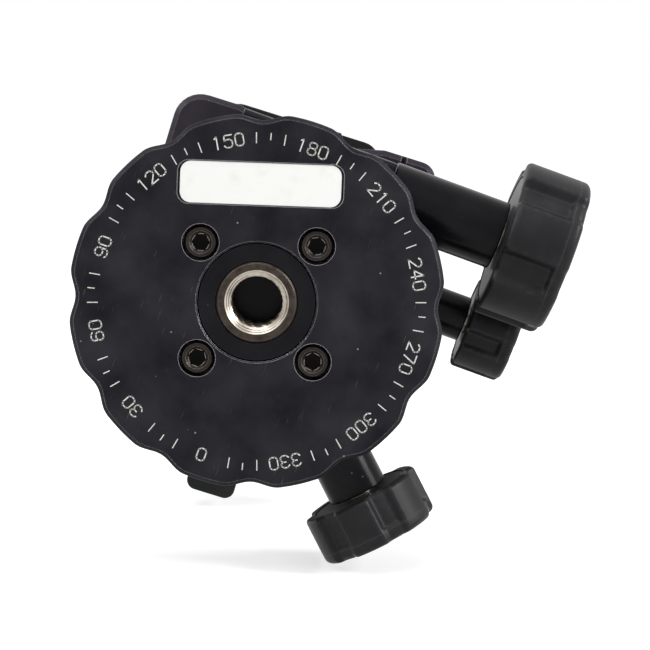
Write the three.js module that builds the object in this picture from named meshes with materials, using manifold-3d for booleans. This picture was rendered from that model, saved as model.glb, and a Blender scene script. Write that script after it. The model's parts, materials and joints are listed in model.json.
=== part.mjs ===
// Tripod ball head: a panning base, a housing with three knobs, a ball and a lever-release plate clamp.
// Millimetres, +Z up the head. The origin is the centre of the base plate's underside, and +X points
// along the main locking knob. The pieces that move are at rest: locks open, clamp closed, ball upright.

import * as THREE from 'three';
import { mergeVertices } from 'three/addons/utils/BufferGeometryUtils.js';
import Module from 'manifold-3d';

const wasm = await Module();
wasm.setup();

// Clearances and counts that all pieces share
const gap = 0.3; // running clearance between pieces that move or are cut by each other
const seat = 0.1; // clearance between pieces that rest on each other
const overrun = 1; // how far a cutter runs past the face that it cuts
const steps = { large: 40, middle: 28, small: 16, corner: 4 };
const quarterTurn = Math.PI / 2;

// Driving dimensions of the base that stays on the tripod
const plate = { crestRadius: 29.2, scallopDepth: 1.1, thickness: 6, bevel: 0.5 };
const scallops = { count: 12, firstAngle: radians(12), halfWidthShare: 0.3, valleyPoints: 6, crestPoints: 2 };
const bush = { outerRadius: 6.35, boreRadius: 3.97, mouthRadius: 5, length: 11.6, recess: 0.1 };
const drum = {
  bossRadius: 9.05, bossRecess: 0.25, bossLine: 0.2, neckRadius: 16.4, flangeWidth: 4.2, flangeThickness: 4.1,
};
const baseScrew = {
  circleRadius: 12.7, shankRadius: 1.6, headRadius: 2.58, headHeight: 3, headDepth: 0.6, length: 9.5,
  socketWidth: 2.5, socketDepth: 1.5, count: 4, firstAngle: radians(27),
};
const label = {
  length: 24.9, width: 6.5, corner: 1.7, border: 0.4, recess: 0.1, thickness: 0.25, offset: 18.3,
};
const labelAngle = radians(-108);

// Driving dimensions of the ball and the housing around it
const ball = { radius: 20, underClearance: 1.5 };
const seatWall = 1.8; // least thickness of the rings that hold the ball
const housing = { wall: 4.5, lip: 2.2, topBevel: 1.2, bottomBevel: 0.6 };
const retainer = { thickness: 2.4, recess: 0.4, thread: 0.8, keyRadius: 1, keyDepth: 1.2, keyCount: 4 };
const washer = { thickness: 0.5, edge: 0.6 };
const chamberFloor = { thickness: 1.8, dishDepth: 0.6, dishRadius: 9 };
const cup = { topDrop: 8 };
const upperSeat = { rise: 2.4, height: 3.6 };
const discSpring = { thickness: 0.8, count: 4 };
const notch = { clearance: 1, innerShare: 0.7 };

// Driving dimensions of the main lock: screw, wedge and the lug that holds them
const mainLock = { screwRadius: 2.6, tipRadius: 2, neckRadius: 5.6, neckBevel: 0.4, reach: 7.3 };
const lug = {
  left: 12.2, right: 13.6, cover: 2.7, floor: 6.4, roof: 1.7, bevel: 0.8, endWall: 2.7, faceWall: 1.8,
};
const wedge = { length: 14.6, wall: 1, tail: 2.3, slope: radians(8) };
const screwCollar = { radius: 4.4, thickness: 1.2 };

// Driving dimensions of the tension control and of the pan lock
const tension = { offset: 6.5, drop: 2, screwRadius: 2.2, neckRadius: 3.85, padRadius: 2.9, reach: 8.1 };
const panLock = { angle: radians(43), screwRadius: 2.4, neckRadius: 4.85, padRadius: 2.1, reach: 9.1 };
const neckSeat = 1.9; // depth of the counterbores that hold the knob necks

// Driving dimensions of the knobs
const mainKnob = { radius: 12.95, thickness: 11, valley: 1.4, edge: 1.1, cover: 2.2, phase: radians(-12) };
const tensionKnob = { radius: 8.1, thickness: 8.6, valley: 0.9, edge: 0.8, cover: 1.8, phase: radians(-12) };
const panKnob = { radius: 9.7, thickness: 8, valley: 1.1, edge: 0.9, cover: 1.8, phase: radians(11) };
const lobes = { count: 6, crestShare: 0.52, rampShare: 0.1, hubShare: 0.8, boreDepthShare: 0.6 };

// Driving dimensions of the stem and of the plate clamp on it
const stem = { radius: 6.2, length: 8, collarRadius: 10, collarThickness: 0.9, boreDepth: 5.6 };
const clampYaw = radians(-2.7);
const body = {
  left: 24.6, right: 24.2, half: 28, thickness: 6, leftCorner: 5, rightCorner: 3, bevel: 0.9, step: 0.6,
};
const scoop = { left: 13.5, right: 14, depth: 2.2 };
const slot = { place: 17.7, width: 1, depth: 2, web: 1.6 };
const clampBolt = { radius: 3, headRadius: 5.4, headHeight: 2.6, socketWidth: 4, socketDepth: 1.8 };
const jaw = { width: 9.6, rise: 7.4, lipDrop: 2.4, undercut: 2.2, undercutRise: 2.2 };
const fixedJaw = { left: 16.5, right: 13.6, proud: 0.3, corner: 3.4 };
const key = { left: 4, right: 5.5, depth: 3.2, proud: 0.3, height: 9.6, rise: 1 };
const jawScrew = { place: 10, inset: 5, shankRadius: 1.5, headRadius: 2.5, headHeight: 2.4, reach: 3.2 };
const slidingJaw = { left: 24, right: 22, corner: 2.5 };
const tongue = { halfLength: 8.6, inset: 2.3, width: 5.6, depth: 3.8 };
const guide = {
  place: 5, radius: 1.1, height: 3, anchor: 4, springRadius: 2, springWall: 0.4, springLength: 5.4,
};
const level = { x: 13, y: -9, radius: 5.4, depth: 3.4, bezel: 0.9, glassDrop: 0.3 };
const lever = {
  pivotX: -18, thickness: 2.7, width: 5.2, end: 6.2, tabLength: 8.1, tabWidth: 9, tabHeight: 5.5,
  tabCorner: 1.8,
};
const pivot = { radius: 1.3, headRadius: 2.1, headHeight: 0.8, earRadius: 3.2 };
const cam = { radius: 2.1, reach: 5.2, height: 3, pocketLeft: 3, pocketRight: 6.4 };

// Heights and radii that follow from the driving dimensions, from the tripod up
const labelTop = label.recess + label.thickness;
const housingBottom = plate.thickness + gap;
const retainerTop = housingBottom + retainer.recess + retainer.thickness;
const flangeBottom = retainerTop + washer.thickness + 2 * seat;
const flangeTop = flangeBottom + drum.flangeThickness;
const floorBottom = flangeTop + washer.thickness + 3 * seat;
const floorTop = floorBottom + chamberFloor.thickness;
const ballHeight = floorTop + ball.underClearance + ball.radius;
const wedgeHeight = 2 * (mainLock.screwRadius + wedge.wall);
const wedgeBottom = floorTop + 2 * seat;
const wedgeTop = wedgeBottom + wedgeHeight;
const cupBottom = wedgeTop + seat;
const cupTop = ballHeight - cup.topDrop;
const seatTop = ballHeight + upperSeat.rise + upperSeat.height;
const housingTop = seatTop + seat + housing.lip;
const chamberRadius = ball.radius + seatWall;
const housingRadius = chamberRadius + housing.wall;
const flangeRadius = drum.neckRadius + drum.flangeWidth;
const roomRadius = flangeRadius + washer.edge + 2 * gap;
const skirtRadius = roomRadius + housing.wall;
const skirtTop = floorTop + gap;
const retainerRadius = roomRadius + retainer.thread;
const mainOffset = chamberRadius + gap;
const mainHeight = wedgeBottom + wedgeHeight / 2;
const lugOuter = mainOffset + mainLock.screwRadius + lug.cover;
const lugLow = wedgeBottom - gap - lug.floor;
const lugHigh = cupTop + gap + lug.roof;
const wedgeInner = mainOffset - mainLock.screwRadius - wedge.tail;
const concaveRadius = ball.radius + gap;
const springInner = Math.sqrt(concaveRadius ** 2 - (ballHeight - cupBottom) ** 2) - gap;
const springOuter = wedgeInner - 2 * gap;
const clampBottom = ballHeight + ball.radius + stem.length;
const jawBottom = body.thickness - body.step + gap;
const mainFace = housingRadius + mainLock.reach;
const tensionFace = housingRadius + tension.reach;
const panFace = skirtRadius + panLock.reach;
const panHeight = (flangeBottom + flangeTop) / 2;
const leverHeight = body.thickness - lever.thickness;
const pivotY = body.half + gap + lever.width / 2;

// Materials, one for each finish
const finish = {
  anodised: surface(0x2a2930, 0.45, 0.6),
  plumAnodised: surface(0x332f38, 0.4, 0.6),
  steel: surface(0x9a958c, 0.35, 0.9),
  darkSteel: surface(0x4a4440, 0.45, 0.9),
  brass: surface(0xb08a4a, 0.4, 0.9),
  rubber: surface(0x2b2d2c, 0.85, 0),
  polymer: surface(0xd9d4c8, 0.6, 0),
  darkPolymer: surface(0x242526, 0.5, 0),
  label: surface(0xf2f1ee, 0.7, 0),
  polishedBall: surface(0x1d1d20, 0.25, 0.7),
  glass: surface(0xcfe08a, 0.1, 0),
};

function radians(degrees) {
  return (degrees * Math.PI) / 180;
}

function surface(color, roughness, metalness) {
  return new THREE.MeshStandardMaterial({ color, roughness, metalness, flatShading: true });
}

// Keeps position alone, joins the vertices that share a place and drops the triangles that this closes up
function welded(geometry) {
  const bare = new THREE.BufferGeometry();
  bare.setAttribute('position', geometry.getAttribute('position'));
  bare.setIndex(geometry.index);
  const merged = mergeVertices(bare);
  const kept = [];
  for (let i = 0; i < merged.index.count; i += 3) {
    const [a, b, c] = [merged.index.getX(i), merged.index.getX(i + 1), merged.index.getX(i + 2)];
    if (a !== b && b !== c && c !== a) kept.push(a, b, c);
  }
  merged.setIndex(kept);
  return merged;
}

function solidOf(geometry) {
  return new wasm.Manifold(new wasm.Mesh({
    numProp: 3,
    vertProperties: new Float32Array(geometry.getAttribute('position').array),
    triVerts: new Uint32Array(geometry.index.array),
  }));
}

function geometryOf(solid) {
  const mesh = solid.getMesh();
  const geometry = new THREE.BufferGeometry();
  geometry.setAttribute('position', new THREE.BufferAttribute(new Float32Array(mesh.vertProperties), 3));
  geometry.setIndex(new THREE.BufferAttribute(new Uint32Array(mesh.triVerts), 1));
  return geometry;
}

function cut(geometry, ...tools) {
  return geometryOf(tools.reduce((solid, tool) => solid.subtract(solidOf(tool)), solidOf(geometry)));
}

function join(geometry, ...others) {
  return geometryOf(others.reduce((solid, other) => solid.add(solidOf(other)), solidOf(geometry)));
}

function common(geometry, other) {
  return geometryOf(solidOf(geometry).intersect(solidOf(other)));
}

// A turned piece about Z from an outline of [radius, height] points, closed on the axis or on itself
function turned(outline, count) {
  const points = outline.map(([r, z]) => new THREE.Vector2(r, z));
  if (THREE.ShapeUtils.area(points) < 0) points.reverse();
  if (points[0].x > 0) points.push(points[0].clone());
  return welded(new THREE.LatheGeometry(points, count).rotateX(quarterTurn));
}

function rod(radius, low, high, count = steps.small) {
  return turned([[0, low], [radius, low], [radius, high], [0, high]], count);
}

function tube(inner, outer, low, high, count = steps.middle) {
  return turned([[inner, low], [outer, low], [outer, high], [inner, high]], count);
}

function box(lowX, lowY, lowZ, highX, highY, highZ) {
  const geometry = new THREE.BoxGeometry(highX - lowX, highY - lowY, highZ - lowZ);
  return welded(geometry).translate((lowX + highX) / 2, (lowY + highY) / 2, (lowZ + highZ) / 2);
}

// A flat outline in X and Y, raised from one height to another, with an even bevel where one is given
function raised(shape, low, high, bevel = 0) {
  const geometry = new THREE.ExtrudeGeometry(shape, {
    depth: high - low - 2 * bevel,
    curveSegments: steps.corner,
    bevelEnabled: bevel > 0,
    bevelSize: bevel,
    bevelThickness: bevel,
    bevelOffset: -bevel,
    bevelSegments: 1,
  });
  return welded(geometry.translate(0, 0, low + bevel));
}

// An outline whose first coordinate is Y and second is Z, drawn out along X
function drawnAlongX(shape, left, right) {
  const geometry = raised(shape, left, right);
  const turn = new THREE.Matrix4().makeBasis(
    new THREE.Vector3(0, 1, 0), new THREE.Vector3(0, 0, 1), new THREE.Vector3(1, 0, 0));
  return geometry.applyMatrix4(turn);
}

function polygon(points) {
  return new THREE.Shape(points.map(([x, y]) => new THREE.Vector2(x, y)));
}

function roundedRectangle(left, low, right, high, corner) {
  const shape = new THREE.Shape();
  shape.absarc(right - corner, low + corner, corner, -quarterTurn, 0);
  shape.absarc(right - corner, high - corner, corner, 0, quarterTurn);
  shape.absarc(left + corner, high - corner, corner, quarterTurn, 2 * quarterTurn);
  shape.absarc(left + corner, low + corner, corner, 2 * quarterTurn, 3 * quarterTurn);
  return shape;
}

function hexagon(width) {
  const cornerRadius = width / 2 / Math.cos(Math.PI / 6);
  const corners = Array.from({ length: 6 }, (_, i) => (i * Math.PI) / 3);
  return polygon(corners.map((angle) => [cornerRadius * Math.cos(angle), cornerRadius * Math.sin(angle)]));
}

// Points of an arc about the ball's centre between two heights above it, from first to last
function ballArc(radius, first, last) {
  const start = Math.asin(first / radius);
  const end = Math.asin(last / radius);
  return Array.from({ length: steps.corner + 1 }, (_, i) => {
    const angle = start + ((end - start) * i) / steps.corner;
    return [radius * Math.cos(angle), ballHeight + radius * Math.sin(angle)];
  });
}

function sphere(radius, count) {
  return welded(new THREE.SphereGeometry(radius, count, Math.round(count / 2)).rotateX(quarterTurn));
}

// The frame of a knob: its own Z points out of the housing at an angle about Z
function outwardFrame(x, y, z, angle = 0) {
  const turn = new THREE.Euler(0, quarterTurn, angle, 'ZYX');
  return new THREE.Matrix4().makeRotationFromEuler(turn).setPosition(x, y, z);
}

function inFrame(geometry, frame) {
  return geometry.applyMatrix4(frame);
}

function piece(name, geometry, material) {
  const mesh = new THREE.Mesh(geometry, material);
  mesh.name = name;
  return mesh;
}

function copies(name, geometries, material) {
  return geometries.map((geometry, i) => piece(`${name}_${i + 1}`, geometry, material));
}

function aroundCircle(count, firstAngle, radius) {
  return Array.from({ length: count }, (_, i) => {
    const angle = firstAngle + (i * 2 * Math.PI) / count;
    return [radius * Math.cos(angle), radius * Math.sin(angle)];
  });
}

// Base plate, its scalloped rim and the pocket for the label

function scallopedOutline() {
  const pitch = (2 * Math.PI) / scallops.count;
  const halfWidth = pitch * scallops.halfWidthShare;
  const { valleyPoints, crestPoints } = scallops;
  const points = [];
  for (let i = 0; i < scallops.count; i += 1) {
    const middle = scallops.firstAngle + i * pitch;
    for (let j = 0; j <= valleyPoints; j += 1) {
      const across = (2 * j) / valleyPoints - 1;
      const depth = (plate.scallopDepth * (1 + Math.cos(Math.PI * across))) / 2;
      points.push([middle + across * halfWidth, plate.crestRadius - depth]);
    }
    for (let j = 1; j <= crestPoints; j += 1) {
      const along = (j / (crestPoints + 1)) * (pitch - 2 * halfWidth);
      points.push([middle + halfWidth + along, plate.crestRadius]);
    }
  }
  return polygon(points.map(([angle, radius]) => [radius * Math.cos(angle), radius * Math.sin(angle)]));
}

function placedLabel(geometry) {
  geometry.rotateZ(labelAngle + quarterTurn);
  return geometry.translate(label.offset * Math.cos(labelAngle), label.offset * Math.sin(labelAngle), 0);
}

function labelOutline(border) {
  const x = label.length / 2 + border;
  const y = label.width / 2 + border;
  return roundedRectangle(-x, -y, x, y, label.corner + border);
}

const screwPlaces = aroundCircle(baseScrew.count, baseScrew.firstAngle, baseScrew.circleRadius);

function basePlate() {
  const blank = raised(scallopedOutline(), 0, plate.thickness, plate.bevel);
  const headFloor = baseScrew.headDepth + baseScrew.headHeight + seat;
  const tools = [
    rod(drum.bossRadius + drum.bossLine, -overrun, plate.thickness + overrun, steps.large),
    placedLabel(raised(labelOutline(label.border), -overrun, labelTop + seat)),
  ];
  for (const [x, y] of screwPlaces) {
    tools.push(rod(baseScrew.headRadius + gap, -overrun, headFloor).translate(x, y, 0));
    tools.push(rod(baseScrew.shankRadius + gap, -overrun, plate.thickness + overrun).translate(x, y, 0));
  }
  return cut(blank, ...tools);
}

function labelPlate() {
  return placedLabel(raised(labelOutline(0), label.recess, labelTop));
}

function panDrum() {
  const neckBottom = plate.thickness + seat;
  const blank = turned([
    [0, drum.bossRecess], [drum.bossRadius, drum.bossRecess], [drum.bossRadius, neckBottom],
    [drum.neckRadius, neckBottom], [drum.neckRadius, flangeBottom], [flangeRadius, flangeBottom],
    [flangeRadius, flangeTop], [0, flangeTop],
  ], steps.large);
  const screwEnd = baseScrew.headDepth + baseScrew.headHeight + baseScrew.length + seat;
  const holes = screwPlaces.map(([x, y]) =>
    rod(baseScrew.shankRadius + seat, 0, screwEnd).translate(x, y, 0));
  const bushHole = rod(bush.outerRadius + seat, 0, bush.recess + bush.length + seat, steps.middle);
  return cut(blank, bushHole, ...holes);
}

function tripodBush() {
  const top = bush.recess + bush.length;
  const mouthDepth = bush.mouthRadius - bush.boreRadius;
  return turned([
    [bush.boreRadius, top], [bush.boreRadius, bush.recess + mouthDepth],
    [bush.mouthRadius, bush.recess], [bush.outerRadius, bush.recess], [bush.outerRadius, top],
  ], steps.middle);
}

function socketScrew(size) {
  const headTop = size.headDepth + size.headHeight;
  const blank = turned([
    [0, size.headDepth], [size.headRadius, size.headDepth], [size.headRadius, headTop],
    [size.shankRadius, headTop], [size.shankRadius, headTop + size.length], [0, headTop + size.length],
  ], steps.small);
  const socketTop = size.headDepth + size.socketDepth;
  return cut(blank, raised(hexagon(size.socketWidth), size.headDepth - overrun, socketTop));
}

function baseScrews() {
  return screwPlaces.map(([x, y]) => socketScrew(baseScrew).translate(x, y, 0));
}

// Frames of the three screws that go out through the housing

const mainFrame = outwardFrame(0, -mainOffset, mainHeight);
const tensionFrame = outwardFrame(0, -tension.offset, ballHeight - tension.drop);
const panFrame = outwardFrame(0, 0, panHeight, panLock.angle);
const tensionWallOut = Math.sqrt(housingRadius ** 2 - tension.offset ** 2);
const tensionWallIn = Math.sqrt(chamberRadius ** 2 - tension.offset ** 2);
const tensionNeckStart = tensionWallOut - neckSeat;
const panNeckStart = skirtRadius - neckSeat;
const cavityRight = lug.right - lug.endWall;
const cavityLeft = -lug.left + lug.endWall;

// Housing with its chamber, lug, drop notch and the holes for the three screws

function housingBlank() {
  const barrel = turned([
    [0, housingBottom], [skirtRadius - housing.bottomBevel, housingBottom],
    [skirtRadius, housingBottom + housing.bottomBevel], [skirtRadius, skirtTop], [housingRadius, skirtTop],
    [housingRadius, housingTop - housing.topBevel], [housingRadius - housing.topBevel, housingTop],
    [0, housingTop],
  ], 2 * steps.middle);
  const lugShape = roundedRectangle(-lugOuter, lugLow, -chamberRadius / 2, lugHigh, lug.bevel);
  return join(barrel, drawnAlongX(lugShape, -lug.left, lug.right));
}

function housingBody() {
  const lipRadius = Math.sqrt(ball.radius ** 2 - (seatTop - ballHeight) ** 2) + 2 * gap;
  const chamber = turned([
    [0, housingBottom - overrun], [retainerRadius + seat, housingBottom - overrun],
    [retainerRadius + seat, retainerTop], [roomRadius, retainerTop],
    [roomRadius, floorBottom - seat], [chamberRadius, floorBottom - seat],
    [chamberRadius, seatTop + seat], [lipRadius, seatTop + seat],
    [lipRadius + housing.lip / 2, housingTop + overrun], [0, housingTop + overrun],
  ], 2 * steps.middle);
  const cavity = box(cavityLeft, lug.faceWall - lugOuter, wedgeBottom - gap,
    cavityRight, overrun - wedgeInner, cupTop + gap);
  const mainHole = rod(mainLock.screwRadius + gap, 0, lug.right + overrun);
  const mainSpigotHole = rod(screwCollar.radius + gap, cavityRight - overrun, lug.right + overrun);
  const mainSeat = rod(mainLock.neckRadius + seat, lug.right, housingRadius + overrun, steps.middle);
  const tipHole = rod(mainLock.tipRadius + gap, -lug.left + seat, 0);
  const tensionHole = rod(tension.padRadius + gap, tensionWallIn / 2, tensionNeckStart + overrun);
  const tensionSeat = rod(tension.neckRadius + seat, tensionNeckStart, housingRadius + overrun, steps.middle);
  const panHole = rod(panLock.padRadius + gap, roomRadius - overrun, panNeckStart + overrun);
  const panSeat = rod(panLock.neckRadius + seat, panNeckStart, skirtRadius + overrun, steps.middle);
  return cut(housingBlank(), chamber, cavity, notchTool(),
    inFrame(mainHole, mainFrame), inFrame(mainSpigotHole, mainFrame),
    inFrame(mainSeat, mainFrame), inFrame(tipHole, mainFrame),
    inFrame(tensionHole, tensionFrame), inFrame(tensionSeat, tensionFrame),
    inFrame(panHole, panFrame), inFrame(panSeat, panFrame));
}

// The U-shaped slot towards -X that the stem drops into
function notchTool() {
  const half = stem.radius + notch.clearance;
  const low = new THREE.Shape();
  low.absarc(0, ballHeight, half, 2 * quarterTurn, 4 * quarterTurn);
  low.lineTo(half, housingTop + overrun);
  low.lineTo(-half, housingTop + overrun);
  return drawnAlongX(low, -housingRadius - overrun, -ball.radius * notch.innerShare);
}

function panRetainer() {
  const low = housingBottom + retainer.recess;
  const ring = tube(drum.neckRadius + gap, retainerRadius, low, retainerTop, steps.large);
  const keyCircle = (drum.neckRadius + retainerRadius) / 2;
  const keys = aroundCircle(retainer.keyCount, 0, keyCircle).map(([x, y]) =>
    rod(retainer.keyRadius, low - overrun, low + retainer.keyDepth, 2 * steps.corner).translate(x, y, 0));
  return cut(ring, ...keys);
}

function panWasher(bottom) {
  return tube(drum.neckRadius + gap, roomRadius - washer.edge, bottom, bottom + washer.thickness);
}

function chamberFloorDisc() {
  const edge = chamberRadius - seat;
  const dish = floorTop - chamberFloor.dishDepth;
  return turned([
    [0, floorBottom], [edge, floorBottom], [edge, floorTop],
    [chamberFloor.dishRadius, floorTop], [0, dish],
  ], steps.large);
}

function discSprings() {
  const bottom = floorTop + seat;
  const pitch = (cupBottom - seat - bottom) / discSpring.count;
  const rise = pitch - discSpring.thickness - seat;
  return Array.from({ length: discSpring.count }, (_, i) => {
    const low = bottom + i * pitch;
    const [inner, outer] = i % 2 ? [low, low + rise] : [low + rise, low];
    return turned([
      [springInner, inner], [springOuter, outer],
      [springOuter, outer + discSpring.thickness], [springInner, inner + discSpring.thickness],
    ], steps.small);
  });
}

function upperSeatRing() {
  const edge = chamberRadius - seat;
  const arc = ballArc(concaveRadius, upperSeat.height + upperSeat.rise, upperSeat.rise);
  const ring = turned([...arc, [edge, ballHeight + upperSeat.rise], [edge, seatTop]], steps.large);
  return cut(ring, notchTool());
}

// Lower cup, lifted by the wedge under its rim on the lug side
function lowerCup() {
  const edge = chamberRadius - gap;
  const arc = ballArc(concaveRadius, cupBottom - ballHeight, -cup.topDrop);
  const ring = turned([...arc, [edge, cupTop], [edge, cupBottom]].reverse(), steps.large);
  return cut(ring, wedgeTool(gap));
}

// The wedge's own outline seen along Y, and the space that it needs when drawn larger by a margin
function wedgeTool(margin) {
  const half = wedge.length / 2 + margin;
  const rise = half * Math.tan(wedge.slope);
  const shape = polygon([
    [-half, wedgeBottom - margin], [half, wedgeBottom - margin],
    [half, wedgeTop + margin - rise], [-half, wedgeTop + margin + rise],
  ]);
  const outer = lugOuter - lug.faceWall - gap + margin;
  const inner = wedgeInner - margin;
  const geometry = raised(shape, inner, outer);
  const turn = new THREE.Matrix4().makeBasis(
    new THREE.Vector3(1, 0, 0), new THREE.Vector3(0, 0, 1), new THREE.Vector3(0, -1, 0));
  return geometry.applyMatrix4(turn);
}

function lockWedge() {
  const bore = rod(mainLock.screwRadius + seat, -wedge.length, wedge.length);
  return cut(wedgeTool(0), inFrame(bore, mainFrame));
}

// Screws, necks and pads in the frame of their own knob, with Z pointing out of the housing

function mainScrew() {
  const { screwRadius, tipRadius } = mainLock;
  const collarLow = cavityRight + seat;
  const collarHigh = collarLow + screwCollar.thickness;
  const threadEnd = cavityLeft + gap;
  const end = mainFace + mainKnob.thickness * lobes.boreDepthShare;
  return turned([
    [0, -lug.left + gap], [tipRadius, -lug.left + gap], [tipRadius, threadEnd], [screwRadius, threadEnd],
    [screwRadius, collarLow], [screwCollar.radius, collarLow], [screwCollar.radius, collarHigh],
    [screwRadius, collarHigh], [screwRadius, end], [0, end],
  ], steps.small);
}

function mainNeck() {
  const low = cavityRight + screwCollar.thickness + 2 * seat;
  const shoulder = lug.right + seat;
  const bore = mainLock.screwRadius + gap;
  return turned([
    [bore, low], [screwCollar.radius, low], [screwCollar.radius, shoulder],
    [mainLock.neckRadius - mainLock.neckBevel, shoulder],
    [mainLock.neckRadius, shoulder + mainLock.neckBevel],
    [mainLock.neckRadius, mainFace - gap], [bore, mainFace - gap],
  ], steps.middle);
}

function sideNeck(size, start, face) {
  return tube(size.screwRadius + gap, size.neckRadius, start + seat, face - gap, steps.middle);
}

function sideScrew(size, knob, start, face) {
  return rod(size.screwRadius, start, face + knob.thickness * lobes.boreDepthShare);
}

function knobOutline(knob) {
  const pitch = (2 * Math.PI) / lobes.count;
  const halfCrest = (pitch * lobes.crestShare) / 2;
  const ramp = pitch * lobes.rampShare;
  const floorRadius = knob.radius - knob.valley;
  const points = [];
  for (let i = 0; i < lobes.count; i += 1) {
    const middle = knob.phase + i * pitch;
    const halfFloor = pitch / 2 - halfCrest - ramp;
    const stops = [
      [-halfCrest, knob.radius], [-halfCrest / 2, knob.radius], [0, knob.radius],
      [halfCrest / 2, knob.radius], [halfCrest, knob.radius], [halfCrest + ramp, floorRadius],
      [pitch / 2, floorRadius], [pitch / 2 + halfFloor, floorRadius],
    ];
    for (const [angle, radius] of stops) points.push([middle + angle, radius]);
  }
  return polygon(points.map(([angle, radius]) => [radius * Math.cos(angle), radius * Math.sin(angle)]));
}

function knobGrip(knob, face) {
  const blank = raised(knobOutline(knob), 0, knob.thickness, knob.edge);
  const pocketRadius = knob.radius * lobes.hubShare + seat;
  const pocket = rod(pocketRadius, -overrun, knob.thickness - knob.cover, steps.middle);
  return cut(blank, pocket).translate(0, 0, face);
}

function knobHub(knob, face, screwRadius) {
  const edge = knob.radius * lobes.hubShare;
  const top = knob.thickness - knob.cover - seat;
  const boreTop = knob.thickness * lobes.boreDepthShare + seat;
  const bore = screwRadius + seat;
  return turned([
    [bore, seat], [edge, seat], [edge, top], [0, top], [0, boreTop], [bore, boreTop],
  ], steps.middle).translate(0, 0, face);
}

function tensionPad() {
  const end = tensionNeckStart - 2 * seat;
  const blank = rod(tension.padRadius, ball.radius / 2, end);
  const hollow = sphere(concaveRadius, steps.large).translate(0, 0, ballHeight);
  const frameBack = tensionFrame.clone().invert();
  return cut(blank, hollow.applyMatrix4(frameBack));
}

function panPad() {
  const start = flangeRadius + gap;
  return rod(panLock.padRadius, start, panNeckStart - 2 * seat);
}

// Ball, and the stem whose foot fits the ball so that each can turn about the ball's centre

function ballStem() {
  const top = clampBottom - gap;
  const foot = Math.sqrt(concaveRadius ** 2 - stem.radius ** 2);
  const arc = Array.from({ length: steps.corner + 1 }, (_, i) => {
    const radius = (stem.radius * i) / steps.corner;
    return [radius, ballHeight + Math.sqrt(concaveRadius ** 2 - radius ** 2)];
  });
  const bore = clampBolt.radius + gap;
  return turned([
    ...arc, [stem.radius, ballHeight + foot + seat], [stem.radius, top], [bore, top],
    [bore, top - stem.boreDepth], [0, top - stem.boreDepth],
  ], steps.middle);
}

function stemCollar() {
  const top = clampBottom - gap;
  return tube(stem.radius + seat, stem.collarRadius, top - stem.collarThickness, top);
}

// Clamp pieces in the clamp's own frame, with Z zero at its underside

function clampOutline() {
  const { left, right, half, leftCorner, rightCorner } = body;
  const shape = new THREE.Shape();
  const middle = (scoop.right - scoop.left) / 2;
  shape.moveTo(-scoop.left, -half);
  shape.quadraticCurveTo(middle, -half + 2 * scoop.depth, scoop.right, -half);
  shape.absarc(right - rightCorner, rightCorner - half, rightCorner, -quarterTurn, 0);
  shape.absarc(right - rightCorner, half - rightCorner, rightCorner, 0, quarterTurn);
  shape.absarc(leftCorner - left, half - leftCorner, leftCorner, quarterTurn, 2 * quarterTurn);
  shape.absarc(leftCorner - left, leftCorner - half, leftCorner, 2 * quarterTurn, 3 * quarterTurn);
  return shape;
}

function clampBody() {
  const { half, thickness } = body;
  const blank = raised(clampOutline(), 0, thickness, body.bevel);
  const earTop = leverHeight - seat;
  const earLeft = lever.pivotX - pivot.earRadius;
  const earRight = lever.pivotX + pivot.earRadius;
  const ear = join(rod(pivot.earRadius, 0, earTop).translate(lever.pivotX, pivotY, 0),
    box(earLeft, half - body.leftCorner, 0, earRight, pivotY, earTop));
  const tools = [
    box(slot.place - slot.width / 2, -half - overrun, -overrun,
      slot.place + slot.width / 2, slot.depth - half, thickness - slot.web),
    rod(clampBolt.radius + seat, -overrun, thickness + overrun),
    rod(clampBolt.headRadius + seat, thickness - clampBolt.headHeight - seat, thickness + overrun),
    rod(level.radius + seat, thickness - level.depth, thickness + overrun).translate(level.x, level.y, 0),
    box(-tongue.halfLength - gap, tongueLow - gap, thickness - tongue.depth - gap,
      tongue.halfLength + gap, half + overrun, thickness + overrun),
    box(-key.left - seat, -half - overrun, key.rise - seat, key.right + seat, key.depth - half + seat,
      thickness + overrun),
    box(-body.left - overrun, -half - overrun, thickness - body.step, body.right + overrun, -seatHalf,
      thickness + overrun),
    box(-body.left - overrun, seatHalf, thickness - body.step, body.right + overrun, half + overrun,
      thickness + overrun),
    rod(pivot.radius + seat, -overrun, thickness + overrun).translate(lever.pivotX, pivotY, 0),
  ];
  for (const x of jawScrewPlaces) {
    const headHole = rod(jawScrew.headRadius + seat, -overrun, jawScrew.headHeight + seat);
    const shankHole = rod(jawScrew.shankRadius + gap, -overrun, thickness + overrun);
    tools.push(headHole.translate(x, jawScrewY, 0), shankHole.translate(x, jawScrewY, 0));
  }
  for (const x of guidePlaces) {
    tools.push(alongY(rod(guide.radius + seat, guideLow - seat, half), x));
    tools.push(alongY(rod(guide.springRadius + seat, springLow - seat, tongueLow), x));
  }
  return cut(join(blank, ear), ...tools);
}

function alongY(geometry, x) {
  return geometry.rotateX(-quarterTurn).translate(x, 0, guide.height);
}

const seatHalf = body.half - jaw.width - gap;
const tongueLow = body.half - tongue.inset - tongue.width;
const springLow = tongueLow - guide.springLength;
const guideLow = springLow - guide.anchor;
const guidePlaces = [-guide.place, guide.place];
const jawScrewPlaces = [-jawScrew.place, jawScrew.place];
const jawScrewY = jawScrew.inset - body.half;

// Section of a jaw in Y and Z, from its back to the undercut that faces +Y
function jawSection(back) {
  const high = body.thickness + jaw.rise;
  const lip = jaw.width - body.half;
  return polygon([
    [back, jawBottom], [lip - jaw.undercut, jawBottom],
    [lip - jaw.undercut, body.thickness + jaw.undercutRise],
    [lip, high - jaw.lipDrop], [lip, high], [back, high],
  ]);
}

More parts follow.
